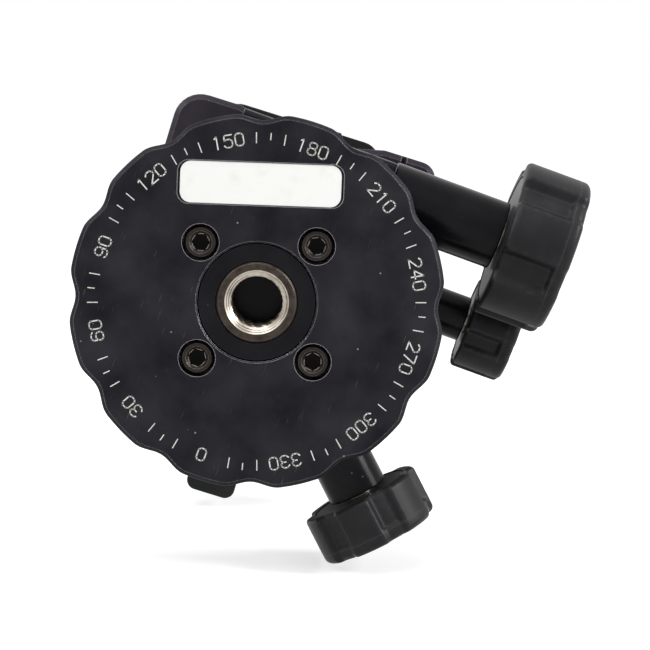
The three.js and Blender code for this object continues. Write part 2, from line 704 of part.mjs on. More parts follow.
function fixedJawPiece() {
  const back = -body.half - fixedJaw.proud;
  const bar = drawnAlongX(jawSection(back), -fixedJaw.left, fixedJaw.right);
  const plan = roundedRectangle(-fixedJaw.left, back, fixedJaw.right, 0, fixedJaw.corner);
  const high = body.thickness + 2 * jaw.rise;
  const keyRoom = box(-key.left - gap, back - overrun, 0, key.right + gap, key.depth - body.half + gap,
    key.rise + key.height + gap);
  const holeTop = body.thickness + gap + jawScrew.reach + seat;
  const holes = jawScrewPlaces.map((x) =>
    rod(jawScrew.shankRadius + seat, 0, holeTop).translate(x, jawScrewY, 0));
  return cut(common(bar, raised(plan, 0, high)), keyRoom, ...holes);
}

function jawKey() {
  const back = -body.half - fixedJaw.proud - key.proud;
  return box(-key.left, back, key.rise, key.right, key.depth - body.half, key.rise + key.height);
}

function fixedJawScrews() {
  const shankTop = body.thickness + gap + jawScrew.reach;
  return jawScrewPlaces.map((x) => turned([
    [0, seat], [jawScrew.headRadius, seat], [jawScrew.headRadius, jawScrew.headHeight],
    [jawScrew.shankRadius, jawScrew.headHeight], [jawScrew.shankRadius, shankTop], [0, shankTop],
  ], steps.small).translate(x, jawScrewY, 0));
}

function slidingJawPiece() {
  const section = jawSection(-body.half);
  const bar = drawnAlongX(section, -slidingJaw.right, slidingJaw.left).rotateZ(2 * quarterTurn);
  const plan = roundedRectangle(-slidingJaw.left, 0, slidingJaw.right, body.half, slidingJaw.corner);
  const foot = box(-tongue.halfLength, tongueLow, body.thickness - tongue.depth,
    tongue.halfLength, tongueLow + tongue.width, body.thickness);
  const pocketFloor = pivotY - cam.reach - gap;
  const pocketTop = body.thickness + cam.height + pivot.headHeight + 2 * gap;
  const pocket = box(lever.pivotX - cam.pocketLeft, pocketFloor, body.thickness - body.step,
    lever.pivotX + cam.pocketRight, body.half + overrun, pocketTop);
  const bores = guidePlaces.map((x) => alongY(rod(guide.radius + seat, tongueLow - overrun, body.half), x));
  return cut(join(common(bar, raised(plan, 0, body.thickness + 2 * jaw.rise)), foot), pocket, ...bores);
}

function guidePins() {
  const high = body.half - gap;
  return guidePlaces.map((x) => alongY(rod(guide.radius, guideLow, high, 2 * steps.corner), x));
}

function jawSprings() {
  const inner = guide.springRadius - guide.springWall;
  return guidePlaces.map((x) =>
    alongY(tube(inner, guide.springRadius, springLow, tongueLow - gap, 3 * steps.corner), x));
}

function socketBolt() {
  const low = gap - stem.boreDepth;
  const headLow = body.thickness - clampBolt.headHeight;
  const headTop = body.thickness - seat;
  const blank = turned([
    [0, low], [clampBolt.radius, low], [clampBolt.radius, headLow], [clampBolt.headRadius, headLow],
    [clampBolt.headRadius, headTop], [0, headTop],
  ], steps.small);
  const socket = raised(hexagon(clampBolt.socketWidth), headTop - clampBolt.socketDepth, headTop + overrun);
  return cut(blank, socket);
}

function levelCup() {
  const low = body.thickness - level.depth + seat;
  const high = body.thickness - seat;
  const inner = level.radius - level.bezel;
  return turned([
    [0, low], [level.radius, low], [level.radius, high], [inner, high], [inner, low + level.bezel],
    [0, low + level.bezel],
  ], steps.middle).translate(level.x, level.y, 0);
}

function levelVial() {
  const low = body.thickness - level.depth + level.bezel + 2 * seat;
  const radius = level.radius - level.bezel - seat;
  return rod(radius, low, body.thickness - level.glassDrop, steps.middle).translate(level.x, level.y, 0);
}

function releaseLever() {
  const inner = body.half + gap;
  const outer = inner + lever.width;
  const top = body.thickness;
  const eye = rod(lever.width / 2, leverHeight, top).translate(lever.pivotX, pivotY, 0);
  const arm = box(lever.pivotX, inner, leverHeight, lever.end - lever.tabWidth / 2, outer, top);
  const tabShape = roundedRectangle(lever.end - lever.tabWidth, inner, lever.end,
    outer + lever.tabLength, lever.tabCorner);
  const tab = raised(tabShape, top - lever.tabHeight, top);
  const bore = rod(pivot.radius + seat, 0, top + overrun).translate(lever.pivotX, pivotY, 0);
  return cut(join(arm, eye, tab), bore);
}

function leverCam() {
  const low = body.thickness + seat;
  const high = low + cam.height;
  const shape = new THREE.Shape();
  const tip = cam.radius / 2;
  shape.absarc(0, 0, cam.radius, 0, 2 * quarterTurn);
  shape.absarc(0, tip - cam.reach, tip, 2 * quarterTurn, 4 * quarterTurn);
  const blank = raised(shape, low, high).translate(lever.pivotX, pivotY, 0);
  return cut(blank, rod(pivot.radius + seat, 0, high + overrun).translate(lever.pivotX, pivotY, 0));
}

function pivotPin() {
  const headLow = body.thickness + cam.height + 2 * seat;
  return turned([
    [0, seat], [pivot.radius, seat], [pivot.radius, headLow], [pivot.headRadius, headLow],
    [pivot.headRadius, headLow + pivot.headHeight], [0, headLow + pivot.headHeight],
  ], steps.small).translate(lever.pivotX, pivotY, 0);
}

// The assembly, in groups that each stand in the frame of the screw or clamp that they belong to

function groupIn(frame, ...meshes) {
  const group = new THREE.Group();
  group.applyMatrix4(frame);
  group.add(...meshes);
  return group;
}

const base = new THREE.Group();
base.add(
  piece('base_plate', basePlate(), finish.anodised),
  piece('pan_drum', panDrum(), finish.anodised),
  piece('tripod_bush', tripodBush(), finish.steel),
  ...copies('base_screw', baseScrews(), finish.darkSteel),
  piece('label_plate', labelPlate(), finish.label),
);

const shell = new THREE.Group();
shell.add(
  piece('housing', housingBody(), finish.anodised),
  piece('pan_retaining_ring', panRetainer(), finish.anodised),
  piece('pan_lower_washer', panWasher(retainerTop + seat), finish.polymer),
  piece('pan_upper_washer', panWasher(flangeTop + seat), finish.polymer),
  piece('chamber_floor', chamberFloorDisc(), finish.anodised),
  ...copies('disc_spring', discSprings(), finish.steel),
  piece('upper_ball_seat', upperSeatRing(), finish.polymer),
  piece('lower_ball_cup', lowerCup(), finish.polymer),
  piece('lock_wedge', lockWedge(), finish.brass),
);

const mainLockGroup = groupIn(mainFrame,
  piece('main_lock_neck', mainNeck(), finish.anodised),
  piece('main_lock_screw', mainScrew(), finish.steel),
  piece('main_knob_hub', knobHub(mainKnob, mainFace, mainLock.screwRadius), finish.darkPolymer),
  piece('main_knob_grip', knobGrip(mainKnob, mainFace), finish.rubber),
);

const tensionGroup = groupIn(tensionFrame,
  piece('tension_neck', sideNeck(tension, tensionNeckStart, tensionFace), finish.anodised),
  piece('tension_pad', tensionPad(), finish.brass),
  piece('tension_screw', sideScrew(tension, tensionKnob, tensionNeckStart, tensionFace), finish.steel),
  piece('tension_knob_hub', knobHub(tensionKnob, tensionFace, tension.screwRadius), finish.darkPolymer),
  piece('tension_knob_grip', knobGrip(tensionKnob, tensionFace), finish.rubber),
);

const panLockGroup = groupIn(panFrame,
  piece('pan_lock_neck', sideNeck(panLock, panNeckStart, panFace), finish.anodised),
  piece('pan_brake_pad', panPad(), finish.brass),
  piece('pan_lock_screw', sideScrew(panLock, panKnob, panNeckStart, panFace), finish.steel),
  piece('pan_knob_hub', knobHub(panKnob, panFace, panLock.screwRadius), finish.darkPolymer),
  piece('pan_knob_grip', knobGrip(panKnob, panFace), finish.rubber),
);

const ballGroup = new THREE.Group();
ballGroup.add(
  piece('ball', sphere(ball.radius, steps.large).translate(0, 0, ballHeight), finish.polishedBall),
  piece('ball_stem', ballStem(), finish.anodised),
  piece('stem_collar', stemCollar(), finish.anodised),
);

const clampFrame = new THREE.Matrix4().makeRotationZ(clampYaw).setPosition(0, 0, clampBottom);
const clamp = groupIn(clampFrame,
  piece('clamp_body', clampBody(), finish.plumAnodised),
  piece('fixed_jaw', fixedJawPiece(), finish.anodised),
  piece('jaw_key', jawKey(), finish.anodised),
  ...copies('fixed_jaw_screw', fixedJawScrews(), finish.darkSteel),
  piece('clamp_bolt', socketBolt(), finish.darkSteel),
  ...copies('guide_pin', guidePins(), finish.steel),
  ...copies('jaw_spring', jawSprings(), finish.steel),
  piece('level_cup', levelCup(), finish.darkPolymer),
  piece('level_vial', levelVial(), finish.glass),
  piece('lever_pin', pivotPin(), finish.steel),
  piece('sliding_jaw', slidingJawPiece(), finish.anodised),
  piece('release_lever', releaseLever(), finish.anodised),
  piece('lever_cam', leverCam(), finish.brass),
);

const ballHead = new THREE.Group();
ballHead.add(base, shell, mainLockGroup, tensionGroup, panLockGroup, ballGroup, clamp);

export default ballHead;
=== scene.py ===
"""Looks of a tripod ball head, built around its solids. Lengths are in metres, in the head's own frame."""

import json
import math

import bmesh
import bpy
from mathutils import Matrix, Vector


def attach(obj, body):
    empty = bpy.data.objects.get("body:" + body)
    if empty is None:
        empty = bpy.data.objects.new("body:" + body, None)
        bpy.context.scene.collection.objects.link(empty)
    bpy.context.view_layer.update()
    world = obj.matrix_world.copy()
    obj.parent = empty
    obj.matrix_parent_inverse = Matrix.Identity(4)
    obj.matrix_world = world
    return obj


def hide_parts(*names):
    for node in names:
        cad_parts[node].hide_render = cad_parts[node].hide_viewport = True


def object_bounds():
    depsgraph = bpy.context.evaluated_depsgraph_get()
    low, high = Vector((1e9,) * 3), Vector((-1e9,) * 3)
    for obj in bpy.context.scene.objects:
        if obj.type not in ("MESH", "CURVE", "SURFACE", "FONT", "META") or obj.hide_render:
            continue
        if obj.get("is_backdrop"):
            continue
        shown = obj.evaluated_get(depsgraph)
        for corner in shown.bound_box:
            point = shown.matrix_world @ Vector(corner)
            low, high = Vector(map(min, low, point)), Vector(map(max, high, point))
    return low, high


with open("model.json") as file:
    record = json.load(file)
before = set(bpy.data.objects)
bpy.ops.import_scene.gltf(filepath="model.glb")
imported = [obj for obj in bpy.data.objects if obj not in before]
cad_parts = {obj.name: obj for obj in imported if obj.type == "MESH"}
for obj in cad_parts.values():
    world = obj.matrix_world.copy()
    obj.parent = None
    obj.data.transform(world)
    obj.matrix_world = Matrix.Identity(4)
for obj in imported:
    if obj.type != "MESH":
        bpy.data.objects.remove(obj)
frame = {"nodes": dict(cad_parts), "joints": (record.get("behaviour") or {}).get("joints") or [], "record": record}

bl_info = {
    "name": "Tripod ball head",
    "version": (1, 0, 0),
    "blender": (4, 5, 0),
    "location": "View3D > Sidebar > Ball head",
    "description": "Builds the visible pieces, finishes and studio of a tripod ball head",
    "category": "Object",
}

mm = 0.001
px_wide = 650  # the photograph's width and height
upright = Matrix.Identity(4)
joints = {joint["name"]: joint for joint in frame["joints"]}
body_of = {node: body for body, nodes in frame["record"]["behaviour"]["bodies"].items() for node in nodes}
slot_of = {part["node"]: part["material_slot"] for part in frame["record"]["subparts"]}
base_screws = [f"base_screw_{i}" for i in range(1, 5)]
finishes = {}  # the materials by name, which the first operator makes


# Settings

def length(name, description, default, least=0):
    """The property for a length that a user may change."""
    return bpy.props.FloatProperty(name=name, description=description, default=default, min=least,
                                   precision=5, unit="LENGTH")


def hex_colour(name, description, default):
    """The property for a colour that a user may change."""
    return bpy.props.StringProperty(name=name, description=description, default=default)


class BallHeadSizes(bpy.types.PropertyGroup):
    """Sizes of the fine details that the solids leave out"""

    edge_break: length("Edge break", "Width of the bevel along machined edges", 0.22 * mm)
    corner_radius: length("Turned corner", "Radius of the corners of turned pieces", 0.25 * mm)
    scallop_depth: length("Scallop depth", "Depth of the finger scallops round the base", 1.1 * mm)
    rim_bevel: length("Rim bevel", "Width of the bevel round the base's two edges", 0.5 * mm)
    thread_pitch: length("Thread pitch", "Pitch of the tripod thread, 16 turns to the inch",
                         25.4 / 16 * mm, 0.1 * mm)
    thread_depth: length("Thread depth", "Depth of the tripod thread's grooves", 0.79 * mm)
    digit_height: length("Digit height", "Height of the engraved digits of the degree ring", 1.9 * mm)
    stroke: length("Stroke", "Width of the engraved strokes", 0.2 * mm)
    boss_radius: length("Boss hole", "Radius of the base plate's middle hole", 9.25 * mm)
    scallops: bpy.props.IntProperty(
        name="Scallops", description="Number of finger scallops round the base", default=12, min=3)
    first_scallop: bpy.props.FloatProperty(
        name="First scallop", description="Angle of the first scallop from +X",
        default=math.radians(12), subtype="ANGLE")
    scallop_share: bpy.props.FloatProperty(
        name="Scallop share", description="Half width of a scallop as a share of their pitch",
        default=0.3, min=0.05, max=0.5)
    screw_gap: length("Counterbore gap", "Gap between a screw's head and its counterbore", 0.3 * mm)
    label_gap: length("Label gap", "Gap between the label and its pocket", 0.4 * mm)
    thread_bore: length("Thread bore", "Radius inside the tripod thread's crests", 3.97 * mm)
    thread_mouth: length("Thread mouth", "Radius of the countersink at the thread's mouth", 5 * mm)
    base_socket: length("Base screw socket", "Width across the flats of the base screws' sockets", 2.5 * mm)
    socket_depth: length("Socket depth", "Depth of the base screws' sockets", 2.2 * mm)
    cut_ridge: length("Cut ridge", "Height of the tool's ridges in the bush's countersink", 0.07 * mm)
    jaw_socket: length("Jaw screw socket", "Width across the flats of the jaw screws' sockets", 2 * mm)
    bolt_socket: length("Clamp bolt socket", "Width across the flats of the clamp bolt's socket", 4 * mm)
    ball_relief: length("Ball relief", "How far the round ball stays inside the faceted one", 0.08 * mm)
    lobes: bpy.props.IntProperty(
        name="Lobes", description="Number of lobes round each knob", default=6, min=3)
    crest_share: bpy.props.FloatProperty(
        name="Lobe share", description="Width of a lobe as a share of their pitch",
        default=0.52, min=0.05, max=0.9)
    ramp_share: bpy.props.FloatProperty(
        name="Lobe step share", description="Width of the step beside a lobe as a share of their pitch",
        default=0.125, min=0.02, max=0.4)
    mould_step: length("Mould step", "Depth of the step where the grip's cap begins", 0.03 * mm)
    cap_band: length("Cap band", "Width of the band between that step and the outer face", 1.9 * mm)
    valley_ramp: length("Valley ramp", "Length along which a valley gets shallower before the band", 0.9 * mm)
    valley_share: bpy.props.FloatProperty(
        name="Valley share", description="Depth of a valley in the band as a share of its full depth",
        default=0.62, min=0, max=1)
    bubble_radius: length("Bubble", "Radius of the level's bubble", 1.3 * mm)
    dial_radius: length("Dial radius", "Radius of the middle of the degree ring", 25.2 * mm)


class BallHeadColours(bpy.types.PropertyGroup):
    """Colours of the finishes, as sRGB hex values"""

    anodised: hex_colour("Anodising", "Black anodising of the base and the housing", "#17161b")
    plum: hex_colour("Faded anodising", "Black anodising that has faded towards purple", "#221e26")
    jaw: hex_colour("Jaws", "Hard anodising of the jaws and the lever", "#191b1b")
    ball: hex_colour("Ball", "Smooth hard anodising of the ball", "#141416")
    rubber: hex_colour("Rubber", "Moulded rubber of the knob grips", "#18181a")
    hub: hex_colour("Knob hub", "Moulded plastic inside the knobs", "#1d1e1f")
    steel: hex_colour("Steel", "Turned steel of the tripod bush", "#b3aba0")
    worn_steel: hex_colour("Worn steel", "Blackened steel of the screws, worn brown", "#2b2725")
    # Painted shade: the bush's face is a darker copy of the bore's steel for the dark reflection in it, with a
    # real brown stain
    stained_steel: hex_colour("Stained steel", "Face of the tripod bush, stained brown", "#413933")
    # Painted shade: a darker copy of the black anodising for the pan drum and the necks, which stand in shade
    shaded: hex_colour("Painted shade anodising", "Smoother black anodising of the pan drum and the necks",
                       "#0b0a0d")
    label: hex_colour("Label", "Blank label on the base", "#f1f1ee")
    marks: hex_colour("Marks", "Paint in the engraved marks", "#d9d8d2")


class BallHeadView(bpy.types.PropertyGroup):
    """The photograph's camera, measured from it"""

    focal_px: bpy.props.FloatProperty(
        name="Focal length", description="Focal length in pixels of the photograph", default=2400)
    sensor_mm: bpy.props.FloatProperty(
        name="Sensor width", description="Width of the camera's sensor in millimetres", default=36)
    knob_angle: bpy.props.FloatProperty(
        name="Knob angle", description="Angle of the main knob's axis below the picture's right",
        default=math.radians(20), subtype="ANGLE")
    axis: bpy.props.FloatVectorProperty(
        name="Axis", description="The head's own Z as right, down and forward of the camera",
        default=(-0.0021, -0.0851, 0.9964), precision=4)
    base_centre: bpy.props.FloatVectorProperty(
        name="Base centre", description="The base's centre as right, down and forward of the camera",
        default=(-10.57 * mm, -3.48 * mm, 371 * mm), precision=5, unit="LENGTH")
    down_angle: bpy.props.FloatProperty(
        name="Camera pitch", description="Angle by which the camera looks down on the floor",
        default=math.radians(5.7), subtype="ANGLE")
    floor_drop: length("Floor drop", "Distance of the floor below the camera", 77.1 * mm)


class BallHead(bpy.types.PropertyGroup):
    """All settings of the ball head"""

    sizes: bpy.props.PointerProperty(type=BallHeadSizes)
    colours: bpy.props.PointerProperty(type=BallHeadColours)
    view: bpy.props.PointerProperty(type=BallHeadView)


# Materials

def linear(colour):
    """An sRGB hex value as linear red, green and blue, with an alpha of 1."""
    channels = [int(colour[i:i + 2], 16) / 255 for i in (1, 3, 5)]
    return (*(c / 12.92 if c <= 0.04045 else ((c + 0.055) / 1.055) ** 2.4 for c in channels), 1.0)


def add_node(tree, kind, sockets=None, **options):
    """Adds a node with its options. A socket takes a value, or a link from an output, or from the first
    output that a node has in use."""
    node = tree.nodes.new("ShaderNode" + kind)
    for name, value in options.items():
        setattr(node, name, value)
    for name, value in (sockets or {}).items():
        if isinstance(value, bpy.types.Node):
            value = next(output for output in value.outputs if output.enabled)
        if isinstance(value, bpy.types.NodeSocket):
            tree.links.new(value, node.inputs[name])
        else:
            node.inputs[name].default_value = value
    return node


def new_material(name, surface, *values, **options):
    """A material whose surface is the shader that a function makes in its tree."""
    material = bpy.data.materials.new(name)
    material.use_nodes = True
    tree = material.node_tree
    tree.nodes.clear()
    add_node(tree, "OutputMaterial", {"Surface": surface(tree, *values, **options)})
    return material


def edge_mask(tree, width, low, high, grain):
    """1 along the outer edges of a piece and 0 on its faces, broken up by a grain in metres."""
    place = add_node(tree, "TexCoord").outputs["Object"]
    smooth = add_node(tree, "Bevel", {"Radius": width}, samples=6)
    true = add_node(tree, "NewGeometry").outputs["Normal"]
    turn = add_node(tree, "VectorMath", {0: smooth, 1: true}, operation="DOT_PRODUCT")
    noise = add_node(tree, "TexNoise", {"Vector": place, "Scale": 1 / grain, "Detail": 4.0})
    spread = add_node(tree, "MapRange", {"Value": noise, "To Min": -0.04, "To Max": 0.03})
    rough = add_node(tree, "Math", {0: turn, 1: spread}, operation="ADD")
    return add_node(tree, "MapRange", {"Value": rough, "From Min": high, "From Max": low})


def anodised_aluminium(tree, colour, worn, roughness=0.42, blast=0.16 * mm, edge_wear_and_highlight=0.35, gloss=0.05,
                       edge=0.18 * mm, rim=None):
    """Aluminium, bead-blasted and dyed black by anodising: a fine matt grain, a low sheen, a few pale rubs and
    hairline scratches, and pale edges that are partly dye worn thin and partly a painted highlight. A rim, given
    by the radius at which it starts, gets a broader painted highlight."""
    # Blasted pits are nearer 0.05 mm across and hairlines 0.03 mm wide: both are drawn as coarse as shows
    place = add_node(tree, "TexCoord").outputs["Object"]
    blasted = add_node(tree, "TexNoise", {"Vector": place, "Scale": 1 / blast, "Detail": 2.0})
    cloudy = add_node(tree, "TexNoise", {"Vector": place, "Scale": 1 / (9 * mm), "Detail": 5.0})
    tone = add_node(tree, "MapRange", {"Value": cloudy, "From Min": 0.3, "From Max": 0.7, "To Max": 0.035})
    specks = add_node(tree, "TexVoronoi", {"Vector": place, "Scale": 1 / (1.5 * mm)})
    dot = add_node(tree, "MapRange", {"Value": specks, "From Min": 0.12, "From Max": 0.05, "To Max": 0.5})
    chosen = add_node(tree, "Math", {0: specks.outputs["Color"], 1: 0.77}, operation="GREATER_THAN")
    speck = add_node(tree, "Math", {0: dot, 1: chosen}, operation="MULTIPLY")
    drawn = add_node(tree, "Mapping", {"Vector": place, "Rotation": (0.1, 0.2, 0.5), "Scale": (1, 0.03, 0.4)})
    hairs = add_node(tree, "TexNoise", {"Vector": drawn, "Scale": 1 / (0.12 * mm), "Detail": 1.0})
    scratch = add_node(tree, "MapRange", {"Value": hairs, "From Min": 0.735, "From Max": 0.86,
                                          "To Max": 0.24})
    # Pale edges: partly dye worn thin, partly a painted highlight along the bevels
    edges = edge_mask(tree, edge, 0.82, 0.97, 0.7 * mm)
    # Painted highlight: a broader pale band along the edges beyond the rim's radius
    if rim:
        broad_rim_highlight = edge_mask(tree, 0.5 * mm, 0.78, 0.97, 2 * mm)
        level = add_node(tree, "VectorMath", {0: place, 1: (1, 1, 0)}, operation="MULTIPLY")
        reach = add_node(tree, "VectorMath", {0: level}, operation="LENGTH")
        outer = add_node(tree, "Math", {0: reach, 1: rim}, operation="GREATER_THAN")
        handled = add_node(tree, "Math", {0: broad_rim_highlight, 1: outer}, operation="MULTIPLY")
        edges = add_node(tree, "Math", {0: edges, 1: handled}, operation="MAXIMUM")
    bared = add_node(tree, "MapRange", {"Value": edges, "To Min": 0.15, "To Max": 0.9})
    worn_and_highlit_edges = add_node(tree, "Math", {0: edges, 1: edge_wear_and_highlight}, operation="MULTIPLY")
    rubbed_and_highlit = add_node(tree, "Math", {0: tone, 1: worn_and_highlit_edges}, operation="MAXIMUM")
    flecked = add_node(tree, "Math", {0: scratch, 1: speck}, operation="MAXIMUM")
    marked = add_node(tree, "Math", {0: rubbed_and_highlit, 1: flecked}, operation="MAXIMUM")
    paint = add_node(tree, "Mix", {0: marked, 6: linear(colour), 7: linear(worn)}, data_type="RGBA")
    sheen = add_node(tree, "MapRange", {"Value": cloudy, "To Min": roughness - 0.06,
                                        "To Max": roughness + 0.08})
    bump = add_node(tree, "Bump", {"Height": blasted, "Strength": 0.16, "Distance": 0.02 * mm})
    return add_node(tree, "BsdfPrincipled", {"Base Color": paint, "Roughness": sheen, "Metallic": bared,
                                             "Specular IOR Level": gloss, "Normal": bump})


def turned_metal(tree, colour, dark, bare, roughness=0.3, metallic=1.0, gloss=0.5):
    """Metal from the lathe: a fine grain that spreads the highlights, stains where oil has dried, and bare
    bright edges."""
    # The tool's marks are nearer 0.05 mm apart, and are drawn as coarse as shows
    place = add_node(tree, "TexCoord").outputs["Object"]
    stains = add_node(tree, "TexNoise", {"Vector": place, "Scale": 1 / (1.6 * mm), "Detail": 6.0,
                                         "Roughness": 0.65})
    grain = add_node(tree, "TexNoise", {"Vector": place, "Scale": 1 / (0.09 * mm), "Detail": 2.0})
    stained = add_node(tree, "MapRange", {"Value": stains, "From Min": 0.42, "From Max": 0.72})
    skin = add_node(tree, "Mix", {0: stained, 6: linear(colour), 7: linear(dark)}, data_type="RGBA")
    edges = edge_mask(tree, 0.18 * mm, 0.8, 0.96, 0.5 * mm)
    paint = add_node(tree, "Mix", {0: edges, 6: skin, 7: linear(bare)}, data_type="RGBA")
    sheen = add_node(tree, "MapRange", {"Value": stains, "To Min": roughness - 0.08,
                                        "To Max": roughness + 0.16})
    bump = add_node(tree, "Bump", {"Height": grain, "Strength": 0.12, "Distance": 0.015 * mm})
    return add_node(tree, "BsdfPrincipled", {"Base Color": paint, "Roughness": sheen, "Metallic": metallic,
                                             "Specular IOR Level": gloss, "Normal": bump})


def moulded_rubber(tree, colour, dust):
    """Rubber from a spark-eroded mould: a dull, even grain that holds dust, edges greyed partly by handling and
    partly as a painted highlight, and painted shade that darkens its recesses."""
    # The eroded grain is nearer 0.1 mm, and is drawn as coarse as shows
    place = add_node(tree, "TexCoord").outputs["Object"]
    grain = add_node(tree, "TexNoise", {"Vector": place, "Scale": 1 / (0.22 * mm), "Detail": 2.0})
    handled = add_node(tree, "TexNoise", {"Vector": place, "Scale": 1 / (5 * mm), "Detail": 6.0})
    dusty = add_node(tree, "MapRange", {"Value": handled, "From Min": 0.45, "From Max": 0.8, "To Max": 0.25})
    paint = add_node(tree, "Mix", {0: dusty, 6: linear(colour), 7: linear(dust)}, data_type="RGBA")
    # Edges grey partly from handling and partly as a painted highlight on the lobes' ridges
    edges = edge_mask(tree, 0.9 * mm, 0.86, 0.985, 0.8 * mm)
    rub_and_highlight = add_node(tree, "Math", {0: edges, 1: 0.55}, operation="MULTIPLY")
    rubbed_and_highlit = add_node(tree, "Mix", {0: rub_and_highlight, 6: paint, 7: linear("#77777a")}, data_type="RGBA")
    # Painted shade: ambient occlusion darkens the colour towards near-black in the recesses and at the feet of the
    # steps, where shade falls
    painted_shade_occlusion = add_node(tree, "AmbientOcclusion", {"Distance": 2.5 * mm}, samples=8).outputs["AO"]
    depth = add_node(tree, "MapRange", {"Value": painted_shade_occlusion, "From Min": 0.6, "From Max": 0.97, "To Min": 0.75,
                                        "To Max": 0.0})
    shaded = add_node(tree, "Mix", {0: depth, 6: rubbed_and_highlit, 7: linear("#050505")}, data_type="RGBA")
    sheen = add_node(tree, "MapRange", {"Value": handled, "To Min": 0.34, "To Max": 0.5})
    bump = add_node(tree, "Bump", {"Height": grain, "Strength": 0.35, "Distance": 0.03 * mm})
    return add_node(tree, "BsdfPrincipled", {"Base Color": shaded, "Roughness": sheen, "Normal": bump,
                                             "Specular IOR Level": 0.15})


def moulded_plastic(tree, colour, roughness):
    """Filled nylon or acetal as it leaves the mould or the lathe: even colour and a soft satin skin."""
    place = add_node(tree, "TexCoord").outputs["Object"]
    skin = add_node(tree, "TexNoise", {"Vector": place, "Scale": 1 / (0.3 * mm), "Detail": 3.0})
    sheen = add_node(tree, "MapRange", {"Value": skin, "To Min": roughness - 0.07,
                                        "To Max": roughness + 0.07})
    bump = add_node(tree, "Bump", {"Height": skin, "Strength": 0.1, "Distance": 0.02 * mm})
    return add_node(tree, "BsdfPrincipled", {"Base Color": linear(colour), "Roughness": sheen,
                                             "Normal": bump})


def patchy_film(tree, colour, second, patch, detail, start, end, most, roughness):
    """A thin flat layer, such as a printed label under a clear laminate, or enamel wiped into engraved
    strokes: one even colour that a second one stains or thins in patches."""
    place = add_node(tree, "TexCoord").outputs["Object"]
    patches = add_node(tree, "TexNoise", {"Vector": place, "Scale": 1 / patch, "Detail": detail})
    share = add_node(tree, "MapRange", {"Value": patches, "From Min": start, "From Max": end,
                                        "To Max": most})
    paint = add_node(tree, "Mix", {0: share, 6: linear(colour), 7: linear(second)}, data_type="RGBA")
    return add_node(tree, "BsdfPrincipled", {"Base Color": paint, "Roughness": roughness})


def clear_vial(tree, colour):
    """Acrylic vial filled with tinted spirit: clear, with a yellow-green cast."""
    return add_node(tree, "BsdfPrincipled", {"Base Color": linear(colour), "Roughness": 0.06, "IOR": 1.49,
                                             "Transmission Weight": 0.55})


def make_materials(colours):
    """The finishes by the names of the record's material slots, and those of single pieces and faces."""
    rows = (
        ("black_anodised", "Anodised aluminium black", anodised_aluminium,
         (colours.anodised, "#bcb8be"), {"edge_wear_and_highlight": 0.7}),
        # The base plate's finish: pale edges and a broad painted highlight along its rim
        ("rim_highlight_anodised", "Anodised aluminium with rim highlight", anodised_aluminium,
         (colours.anodised, "#c9c5cb"), {"edge_wear_and_highlight": 0.85, "rim": 27 * mm}),
        # Wider pale edges on the clamp: dye worn thin and a painted highlight along the bevels
        ("plum_anodised", "Anodised aluminium faded", anodised_aluminium,
         (colours.plum, "#b3aab2"), {"edge_wear_and_highlight": 0.6, "gloss": 0.12, "edge": 0.32 * mm}),
        ("jaw_anodised", "Anodised aluminium hard", anodised_aluminium,
         (colours.jaw, "#aaa9a2"), {"roughness": 0.38, "edge_wear_and_highlight": 0.8, "gloss": 0.16}),
        ("ball", "Anodised aluminium smooth", anodised_aluminium,
         (colours.ball, "#303033"), {"roughness": 0.24, "blast": 0.3 * mm, "edge_wear_and_highlight": 0.1, "gloss": 0.4}),
        # The necks and the pan drum: darker black anodising as painted shade
        ("painted_shade_anodised", "Anodised aluminium painted shade", anodised_aluminium,
         (colours.shaded, "#7d7980"), {"roughness": 0.2, "edge_wear_and_highlight": 0.2, "gloss": 0.1}),
        ("steel", "Steel turned", turned_metal, (colours.steel, "#8a8177", "#c9c2b8"), {}),
        ("dark_steel", "Steel blackened", turned_metal,
         (colours.worn_steel, "#231f1c", "#b5aca2"), {"roughness": 0.42, "metallic": 0.8}),
        # Darker steel for the bush's face: brown stain and painted shade for its dark reflection
        ("stained_steel", "Steel stained, painted shade", turned_metal,
         (colours.stained_steel, "#1e1a17", "#8b8178"), {"roughness": 0.42, "metallic": 0.8}),
        # Painted shade: near-black steel for the inside of the screws' sockets, darker than their heads, where
        # shade falls
        ("socket_shade_steel", "Steel socket shade", turned_metal,
         ("#050504", "#0d0906", "#5d4a3a"), {"roughness": 0.24, "metallic": 0.5, "gloss": 0.1}),
        ("brass", "Brass turned", turned_metal, ("#b58d4c", "#7a5d2f", "#d0ad6c"), {"roughness": 0.32}),
        ("rubber", "Rubber moulded", moulded_rubber, (colours.rubber, "#3a3a3c"), {}),
        ("knob_hub", "Nylon glass-filled", moulded_plastic, (colours.hub, 0.36), {}),
        ("polymer", "Acetal machined", moulded_plastic, ("#d8d2c4", 0.45), {}),
        ("label", "Film laminated", patchy_film, (colours.label, "#b9b6ac"),
         {"patch": 3 * mm, "detail": 7.0, "start": 0.55, "end": 0.85, "most": 0.25, "roughness": 0.38}),
        ("marks", "Enamel engraved", patchy_film, (colours.marks, "#77757a"),
         {"patch": 0.8 * mm, "detail": 4.0, "start": 0.45, "end": 0.85, "most": 0.6, "roughness": 0.7}),
        ("vial", "Acrylic clear", clear_vial, ("#c9dc5a",), {}),
    )
    return {slot: new_material(name, surface, *values, **options)
            for slot, name, surface, values, options in rows}


# Frames and measures of the solids

def axes_at(place, x, y, z):
    """A frame at a place, with these axes."""
    return Matrix.Translation(Vector(place)) @ Matrix((x, y, z)).transposed().to_4x4()


